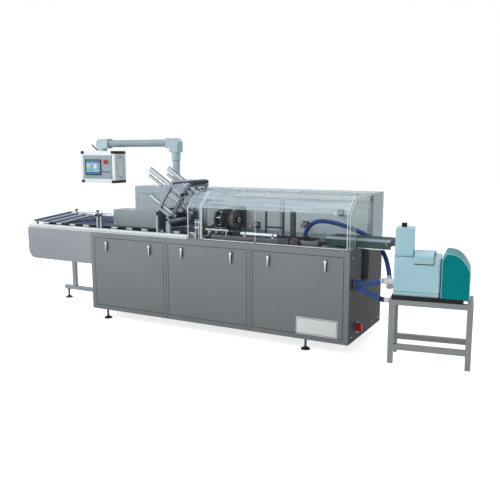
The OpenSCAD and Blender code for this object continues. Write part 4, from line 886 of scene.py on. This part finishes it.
# Opener gears: place and radius
OPENER_GEARS = [(1186, 118, 935, 52), (1262, 128, 902, 38), (1330, 118, 905, 34)]
OPENER_ARM = [(1150, 880), (1192, 868), (1300, 952), (1352, 1040),
              (1338, 1048), (1280, 972), (1190, 910), (1150, 905)]
GUIDE_Y = 64


def dress_carton_chain():
    (x0, y0, z0), (x1, y1, z1) = corners("carton_chain")
    wheels = Form("carton_sprockets", BLUE_STEEL)
    for y, way in ((y0 - 5, FRONT), (y1 + 0.5, BACK)):
        wheels.gear(grid((x0 + 40, x1 - 40), y, SPROCKET_Z), BACK, 30, 4.5)
        hub = [(10, 0), (10, 9), (8.5, 10.5), (0, 10.5)]
        wheels.lathe(hub, grid((x0 + 40, x1 - 40), y - 2, SPROCKET_Z), way, 24)
    step = 1.05 * CARTON_PITCH
    xs = [x0 + 12 + i * step for i in range(int((x1 - x0) / step) - 1)]
    ys = (y0 - 1.1, y0 + 18.1, y1 - 19.1, y1 + 0.1)
    add_links(Form("carton_links", DARK_STEEL), CARTON_LINK, xs, ys, TABLE_Z)
    Form("bed_screws", BRIGHT).screw(grid(spaced(1330, 2280, 9), (74, 308), BED_TOP_Z), UP, 4.5)
    (x0, y0, z0), (x1, y1, z1) = corners("hold_down_tube")
    ends = grid((x0 + 40, x1 - 40), (y0 + y1) / 2, z1 - 15)
    Form("tube_collars", DARK_STEEL).ring(ends, RIGHT, 15.1, 17.6, 10)


def dress_cylinders():
    """Pneumatic cylinders: end caps, barrel, rod with a nut, and a mount on the back wall."""
    barrels = Form("cylinder_barrels", LIGHT_STEEL)
    rods = Form("cylinder_rods", BRIGHT)
    mounts = Form("cylinder_mounts", DARK_METAL)
    for x, z, r, length in CYLINDERS:
        cap, half = 1.12 * r, r + 10
        profile = [(0, 0), (cap, 0), (cap, 12), (r, 14), (r, length - 14), (cap, length - 12), (cap, length),
                   (0.4 * r, length)]
        barrels.lathe(profile, (x, MOUNT_Y, z), FRONT)
        tip = (x, MOUNT_Y - length, z)
        rods.lathe([(0.36 * r, 0), (0.36 * r, 38), (0.3 * r, 40), (0, 40)], tip, FRONT, 20)
        rods.lathe([(0.62 * r, 24), (0.62 * r, 34)], tip, FRONT, 6)
        mounts.block((x - half, MOUNT_Y, z - half), (x + half, WALL_Y, z + half), 1.5)
        mounts.screw(grid((x - r - 4, x + r + 4), MOUNT_Y, z + r + 4), FRONT, 4)


def dress_feeder():
    gears = Form("feeder_gears", DARK_METAL)
    gears.gear((HEAD_X + 84.5, HEAD_Y, HEAD_Z), RIGHT, 58, 9, 30)
    gears.gear((HEAD_X + 84.5, PINION_Y, PINION_Z), RIGHT, 36, 9, 20)
    gears.gear((HEAD_X - 6.5, HEAD_Y, HEAD_Z), RIGHT, 66, 8, 34)
    ties = Form("feeder_ties", BRIGHT)
    ties.lathe([(5, 0), (5, 44)], round_places("X", (HEAD_X + 20, HEAD_Y, HEAD_Z), 5, 60, 20), RIGHT, 16)
    ties.nut(round_places("X", (HEAD_X + 3.5, HEAD_Y, HEAD_Z), 5, 70, 20), LEFT, 5)
    ties.lathe([(9, 0), (9, 8), (7, 10), (0, 10)], (HEAD_X + 93.5, PINION_Y, PINION_Z), RIGHT, 20)
    wheel_x = corners("feeder_wheel")[1][0]
    Form("wheel_screws", BRIGHT).screw(round_places("X", (wheel_x, HEAD_Y, HEAD_Z), 6, 18), RIGHT, 4)


def dress_opener():
    gears = Form("opener_gears", DARK_METAL)
    shafts = Form("opener_shafts", LIGHT_STEEL)
    for x, y, z, radius in OPENER_GEARS:
        gears.gear((x, y, z), BACK, radius, 10, 26)
        gears.lathe([(14, -8), (14, 0)], (x, y, z), BACK, 24)
        shafts.lathe([(8, 0), (8, WALL_Y - 0.5 - y)], (x, y, z), BACK, 18)
        shafts.nut((x, y - 8, z), FRONT, 7)
    arms = Form("opener_arms", DARK_METAL)
    for y in (150, 166):
        arms.prism(OPENER_ARM, 1, y, y + 7, 0.8)
    rods = Form("guide_rods", GUIDE_STEEL)
    post = [(9, 0), (9, 6), (5, 8), (5, 168), (4, 170), (0, 170)]
    rods.lathe(post, grid((1150, 1178), GUIDE_Y, TABLE_Z), UP, 18)
    rods.tube([(1138, GUIDE_Y, 985), (1214, GUIDE_Y, 985)], 9, 14)
    rods.block((1143, GUIDE_Y - 8, 930), (1185, GUIDE_Y + 8, 948), 1.5)
    rods.block((1250, GUIDE_Y, 924), (1476, GUIDE_Y + 12, 936), 1.5)
    rods.lathe([(5, 0), (5, 40)], grid((1275, 1450), GUIDE_Y + 6, BED_TOP_Z), UP, 16)


dress_carton_chain()
dress_cylinders()
dress_feeder()
dress_opener()


# Guards: pale strips painted as highlights on the panes' edges and along their bends; those of the doors lift
# with them

PANE_Y, PANE_FOOT_Z, BEND_Z, TOP_Y, TOP_Z, PANE_END_Y = 12, 846, 1120, 150, 1245, 530
GUARD_LINE = [(PANE_Y, PANE_FOOT_Z), (PANE_Y, BEND_Z), (TOP_Y, TOP_Z), (PANE_END_Y, TOP_Z)]
END_LINE = [(PANE_Y, 841), *GUARD_LINE[1:3], (559, TOP_Z)]
LOW_BEND, HIGH_BEND = (PANE_Y + 1, BEND_Z + 0.5), (TOP_Y + 0.6, TOP_Z - 0.6)
# Doors: body, left and right side, width of the edge on each
GUARD_DOORS = [("left_guard", 1240, 1757, 7, 2), ("right_guard", 1763, 2556, 2, 7)]
FIXED_LEFT, FIXED_RIGHT, FIXED_EDGE = 1100, 1234, 8
END_X, EXIT_Y, EXIT_Z, EXIT_EDGE = 2570, (146, 514), (842, 1014), 4


def edge_band(form, x0, x1, out=2.4):
    """A strip over the bent pane, between two places along the machine."""
    form.prism(band_outline(GUARD_LINE, 0, out), 0, x0, x1, 0.4)


def bend_line(form, x0, x1, place):
    form.tube([(x0, *place), (x1, *place)], 2.6, 10)


def dress_guard_doors():
    for body, x0, x1, left, right in GUARD_DOORS:
        edges = Form(body + "_edges", PANE_EDGE_HIGHLIGHT, body)
        edge_band(edges, x0, x0 + left, 0.35 * left)
        edge_band(edges, x1 - right, x1, 0.35 * right)
        edges.block((x0 + 7, PANE_Y - 2, PANE_FOOT_Z), (x1 - 7, PANE_Y, PANE_FOOT_Z + 7), 0.5)
        edges.block((x0 + 7, PANE_END_Y - 14, TOP_Z), (x1 - 7, PANE_END_Y, TOP_Z + 2), 0.5)
        bends = Form(body + "_bends", PANE_BEND_HIGHLIGHT, body)
        for place in (LOW_BEND, HIGH_BEND):
            bend_line(bends, x0 + 8, x1 - 8, place)


def dress_fixed_guards():
    edges = Form("fixed_guard_edges", PANE_EDGE_HIGHLIGHT)
    for x in (FIXED_LEFT, FIXED_RIGHT - FIXED_EDGE):
        edge_band(edges, x, x + FIXED_EDGE)
    bend_line(Form("fixed_guard_bend", PANE_BEND_HIGHLIGHT), FIXED_LEFT + FIXED_EDGE, FIXED_RIGHT - FIXED_EDGE, LOW_BEND)
    Form("end_guard_edge", PANE_EDGE_HIGHLIGHT).prism(band_outline(END_LINE, 0, -12), 0, END_X, END_X + 2, 0.3)
    exit_edge = Form("exit_edge", PANE_BEND_HIGHLIGHT)
    (y0, y1), (z0, z1) = EXIT_Y, EXIT_Z
    for y in (y0, y1 - EXIT_EDGE):
        exit_edge.block((END_X, y, z0), (END_X + 2.5, y + EXIT_EDGE, z1), 0.5)
    exit_edge.block((END_X, y0, z1 - EXIT_EDGE), (END_X + 2.5, y1, z1), 0.5)
    Form("end_guard_screws", DARK_STEEL).screw(grid(END_X, 540, (900, 1060, 1200)), RIGHT, 5)


dress_guard_doors()
dress_fixed_guards()


# Belt: bolts, under rails, roller caps, cross ribs

UNDER_RAIL_X, UNDER_RAIL_Z, UNDER_RAIL_W = (2583, 2790), (844, 849.6), 7
ROLLER_X, ROLLER_Z = 2813, 890


def dress_belt():
    (x0, y0, z0), (x1, y1, z1) = corners("belt_frame")
    bolts = Form("belt_bolts", GREEN)
    caps = Form("roller_caps", DARK_STEEL)
    for y, way in ((y0, FRONT), (y1, BACK)):
        bolts.nut(grid(spaced(x0 + 40, x1 - 60, 6), y, z0 + 36), way, 5)
        caps.lathe([(15, 0), (15, 4), (12, 6), (0, 6)], (ROLLER_X, y, ROLLER_Z), way)
    rails = Form("belt_under_rails", BRIGHT)
    (left, right), (low, high) = UNDER_RAIL_X, UNDER_RAIL_Z
    for y in (y0, y1 - UNDER_RAIL_W):
        rails.block((left, y, low), (right, y + UNDER_RAIL_W, high), 0.6)
    (x0, y0, z0), (x1, y1, z1) = corners("discharge_belt")
    ribs = Form("belt_ribs", BELT_RUBBER)
    for x in spaced(x0 + 40, x1 - 40, 42):
        ribs.block((x - 1.5, y0 + 3, z1 - 0.2), (x + 1.5, y1 - 3, z1 + 1.2), 0.5)


dress_belt()


# Glue unit, turned slightly about one corner: seams, lid seal with painted shadow lines, knob, cover rim
# painted as a highlight, vents, pads

UNIT_CORNER = Vector((2880, 40, 0))
UNIT_TURN = (Matrix.Translation(UNIT_CORNER) @ Matrix.Rotation(math.radians(9), 4, "Z")
             @ Matrix.Translation(-UNIT_CORNER))
LID_X0, LID_X1 = 3051, 3187
LID_FOOT_Z, TANK_TOP_Z = 773, 815
LID_SHADE_OUTLINE = [(50.6, 776), (58.4, 776), (58.4, 816), (255, 816), (255, 820), (62, 820), (54, 817), (50.6, 812)]
COVER_X, COVER_Z, COVER_L = 3248, 528, 200


def on_unit(x, y, z):
    """A place on the glue unit, from its place before the turn."""
    return tuple(UNIT_TURN @ Vector((x, y, z)))


def unit_form(name, material, body="machine"):
    return Form(name, material, body, UNIT_TURN)


def dress_lid():
    # Painted shadow: dark lines under and beside the lid, which also stand as its seal
    seal_and_shade = unit_form("lid_seal_and_shadow", SEAMS_AND_SHADOWS)
    for x in (LID_X0 - 3, LID_X1):
        seal_and_shade.block((x, 62, TANK_TOP_Z - 0.4), (x + 3, 272, TANK_TOP_Z + 4), 0.6)
    seal_and_shade.block((LID_X0 - 3, 58.8, LID_FOOT_Z - 7), (LID_X1 + 3.6, 61, LID_FOOT_Z + 0.2), 0.4)
    seal_and_shade.block((LID_X1 + 0.6, 58.8, LID_FOOT_Z), (LID_X1 + 3.6, 61, TANK_TOP_Z), 0.4)
    # Painted shade on the lid's own lower and side edges
    lid_shade = unit_form("lid_edge_shadow", SEAMS_AND_SHADOWS, "lid")
    lid_shade.block((LID_X0 + 1, 50.6, LID_FOOT_Z + 0.6), (LID_X1 - 1, 58.4, LID_FOOT_Z + 3.4), 0.6)
    lid_shade.prism(LID_SHADE_OUTLINE, 0, LID_X1 - 0.5, LID_X1 + 1.6, 0.3)


def dress_cover():
    crown = [(28 + 172 * t, 332 - 130 * t ** 3) for t in spaced(0, 1, 11)]
    line = [(COVER_X + a, COVER_Z + b) for a, b in [(0, 4), (0, 278), *crown, (COVER_L, 4)]]
    # The rim's paler teal is a painted highlight
    unit_form("cover_rim_highlight", TEAL_RIM_HIGHLIGHT).prism(band_outline(line, -5, 1.2), 1, 46.5, 53, 0.4)
    vents = unit_form("cover_vents", SEAMS_AND_SHADOWS)
    x = COVER_X + COVER_L
    for y in spaced(100, 268, 7):
        vents.block((x - 0.6, y, 560), (x + 1.4, y + 12, 640), 0.8)


def dress_glue_unit():
    seams = unit_form("tank_seams", SEAMS_AND_SHADOWS)
    seams.block((2901.8, 98.6, TANK_TOP_Z), (3039.4, 271.4, TANK_TOP_Z + 3), 0.6)
    seams.block((2904.4, 59.4, 556), (3240.6, 350.6, 558.5), 0.5)
    unit_form("tower_knob", BLACK).knurl((2959.7, 185, 1029.5), UP, 20.5, 33.4, 20)
    screws = unit_form("tank_screws", BRIGHT)
    screws.screw(grid((2925, 3220), 60, (580, 790)), FRONT, 5)
    screws.screw(grid((2918, 3020), 100, (845, 1000)), FRONT, 4)
    pads = unit_form("stand_pads", BLACK)
    for x, y in product((2900, 3460), (60, 350)):
        pads.block((x - 19, y - 19, 0.2), (x + 19, y + 19, 6), 1.2)


dress_lid()
dress_cover()
dress_glue_unit()


# Hoses: the routes of the CAD solids, in millimetres from the cabinet's corner

HOSE_D = 0.036
HOSE_ROUTES = {
    "hose_upper": [
        (2060, 345, 870), (2072, 345, 927), (2104, 346, 976), (2153, 348, 1009), (2210, 351, 1020),
        (2290, 357, 1014), (2370, 366, 997), (2450, 377, 973), (2530, 388, 942), (2600, 395, 908),
        (2650, 398, 874), (2694, 392, 832), (2730, 374, 789), (2759, 344, 752), (2784, 305, 716),
        (2805, 270, 676), (2818, 250, 634), on_unit(2855, 250, 590),
    ],
    "hose_middle": [
        (2592, 90, 590), (2610, 90, 588.5), (2628, 90, 586), (2646, 90.5, 583.5), (2664, 91.5, 582),
        (2682, 93, 582), (2700, 95, 583.5), (2717, 97, 586.5), (2733, 99.5, 591), (2749, 102, 596.5),
        (2764, 105, 602.5), (2778, 108, 608), (2791, 111, 612.5), (2802, 113.3, 615), on_unit(2825, 125, 616),
    ],
    "hose_lower": [
        (2592, 90, 545), (2610, 90, 544), (2628, 90, 541.5), (2646, 90, 537.5), (2664, 90, 532),
        (2682, 90, 525.5), (2700, 90, 518), (2718, 90, 510), (2735, 90, 502.5), (2752, 90.2, 495.5),
        (2768, 90.5, 489), (2784, 91, 483.5), (2799, 91.5, 479), (2814, 92.1, 476.2), on_unit(2838, 100, 475),
    ],
}
# Bands on the hoses: share of the way along, half width in route steps, look
HOSE_BANDS = {
    "hose_upper": [(0.42, 1, BLACK), (0.96, 2, WHITE_PLASTIC)],
    "hose_middle": [(0.9, 4, WHITE_PLASTIC)],
    "hose_lower": [(0.9, 6, BLACK)],
}


def smooth_route(points, steps=6):
    """Points on one smooth curve through the given ones."""
    route = []
    last = len(points) - 1
    for i in range(last):
        before, start, end, after = points[max(i - 1, 0)], points[i], points[i + 1], points[min(i + 2, last)]
        for t in spaced(0, 1, steps + 1)[:-1]:
            route.append(0.5 * (2 * start + (end - before) * t
                                + (2 * before - 5 * start + 4 * end - after) * t * t
                                + (3 * start - before - 3 * end + after) * t ** 3))
    route.append(points[-1])
    return route


def make_hoses():
    for node, bands in HOSE_BANDS.items():
        places = smooth_route([Vector(place) for place in HOSE_ROUTES[node]])
        for number, (share, half, material) in enumerate(bands, 1):
            i = round(share * (len(places) - 1))
            band = Form(f"{node}_band_{number}", material)
            band.tube(places[i - half:i + half + 1], 1000 * HOSE_D + 3, 28)
            band.finish()
        route = [at(*place) for place in places]
        hose = add_piece(node + "_sleeve", swept_tube(route, HOSE_D), HOSE, "machine")
        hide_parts(node)
    glands = Form("hose_glands", SEAMS_AND_SHADOWS)
    for node in ("hose_middle", "hose_lower"):
        glands.ring((CABINET_L + 0.2, *HOSE_ROUTES[node][0][1:]), RIGHT, 22.1, 23.6, 12.4)


make_hoses()
for form in list(FORMS):
    form.finish()


# Studio: a floor that is white to the camera and takes shadows, soft light from above and the front

FLOOR_SIZE, FLOOR_GLOW = 60, 0.75
WORLD_LIGHT, WORLD_SEEN = 0.4, 1.0
# Lights: place, sides in metres, power
LIGHTS = {
    "key": ((-2.0, -4.8, 4.2), (5, 3), 150),
    "top": ((0, 0.5, 5.5), (6, 3), 90),
    "fill": ((-5, -3, 3), (3, 3), 45),
}
LIGHT_TARGET = Vector((0, 0, 0.8))


def seen_directly(tree):
    """One for what the camera sees straight, in a mirror or through a clear sheet, else nought."""
    path = add_node(tree, "LightPath", {})
    camera, glossy, through = [path.outputs[f"Is {ray} Ray"] for ray in ("Camera", "Glossy", "Transmission")]
    return worked(tree, "MAXIMUM", worked(tree, "MAXIMUM", camera, glossy), through)


def make_floor():
    bpy.ops.mesh.primitive_plane_add(size=FLOOR_SIZE, location=(0, 0, 0))
    floor = bpy.context.object
    floor.name = "floor"
    material, tree, bsdf = shader("floor_paper", {"Base Color": (0.9, 0.9, 0.9, 1), "Roughness": 0.95,
                                                  "Specular IOR Level": 0, "Emission Color": (1, 1, 1, 1)})
    feed(tree, bsdf, {"Emission Strength": carried(tree, seen_directly(tree), (0, 1), (0, FLOOR_GLOW))})
    floor.data.materials.append(material)


def make_world():
    world = bpy.data.worlds.new("studio")
    bpy.context.scene.world = world
    world.use_nodes = True
    tree = world.node_tree
    strength = carried(tree, seen_directly(tree), (0, 1), (WORLD_LIGHT, WORLD_SEEN))
    feed(tree, tree.nodes["Background"], {"Color": (1, 1, 1, 1), "Strength": strength})


def make_lights():
    for name, (place, size, power) in LIGHTS.items():
        data = bpy.data.lights.new(name, "AREA")
        data.shape = "RECTANGLE"
        data.size, data.size_y = size
        data.energy = power
        light = bpy.data.objects.new(name, data)
        light.location = place
        light.rotation_euler = (LIGHT_TARGET - Vector(place)).to_track_quat("-Z", "Y").to_euler()
        bpy.context.scene.collection.objects.link(light)


make_floor()
make_world()
make_lights()
bpy.context.scene.view_settings.view_transform = "Standard"
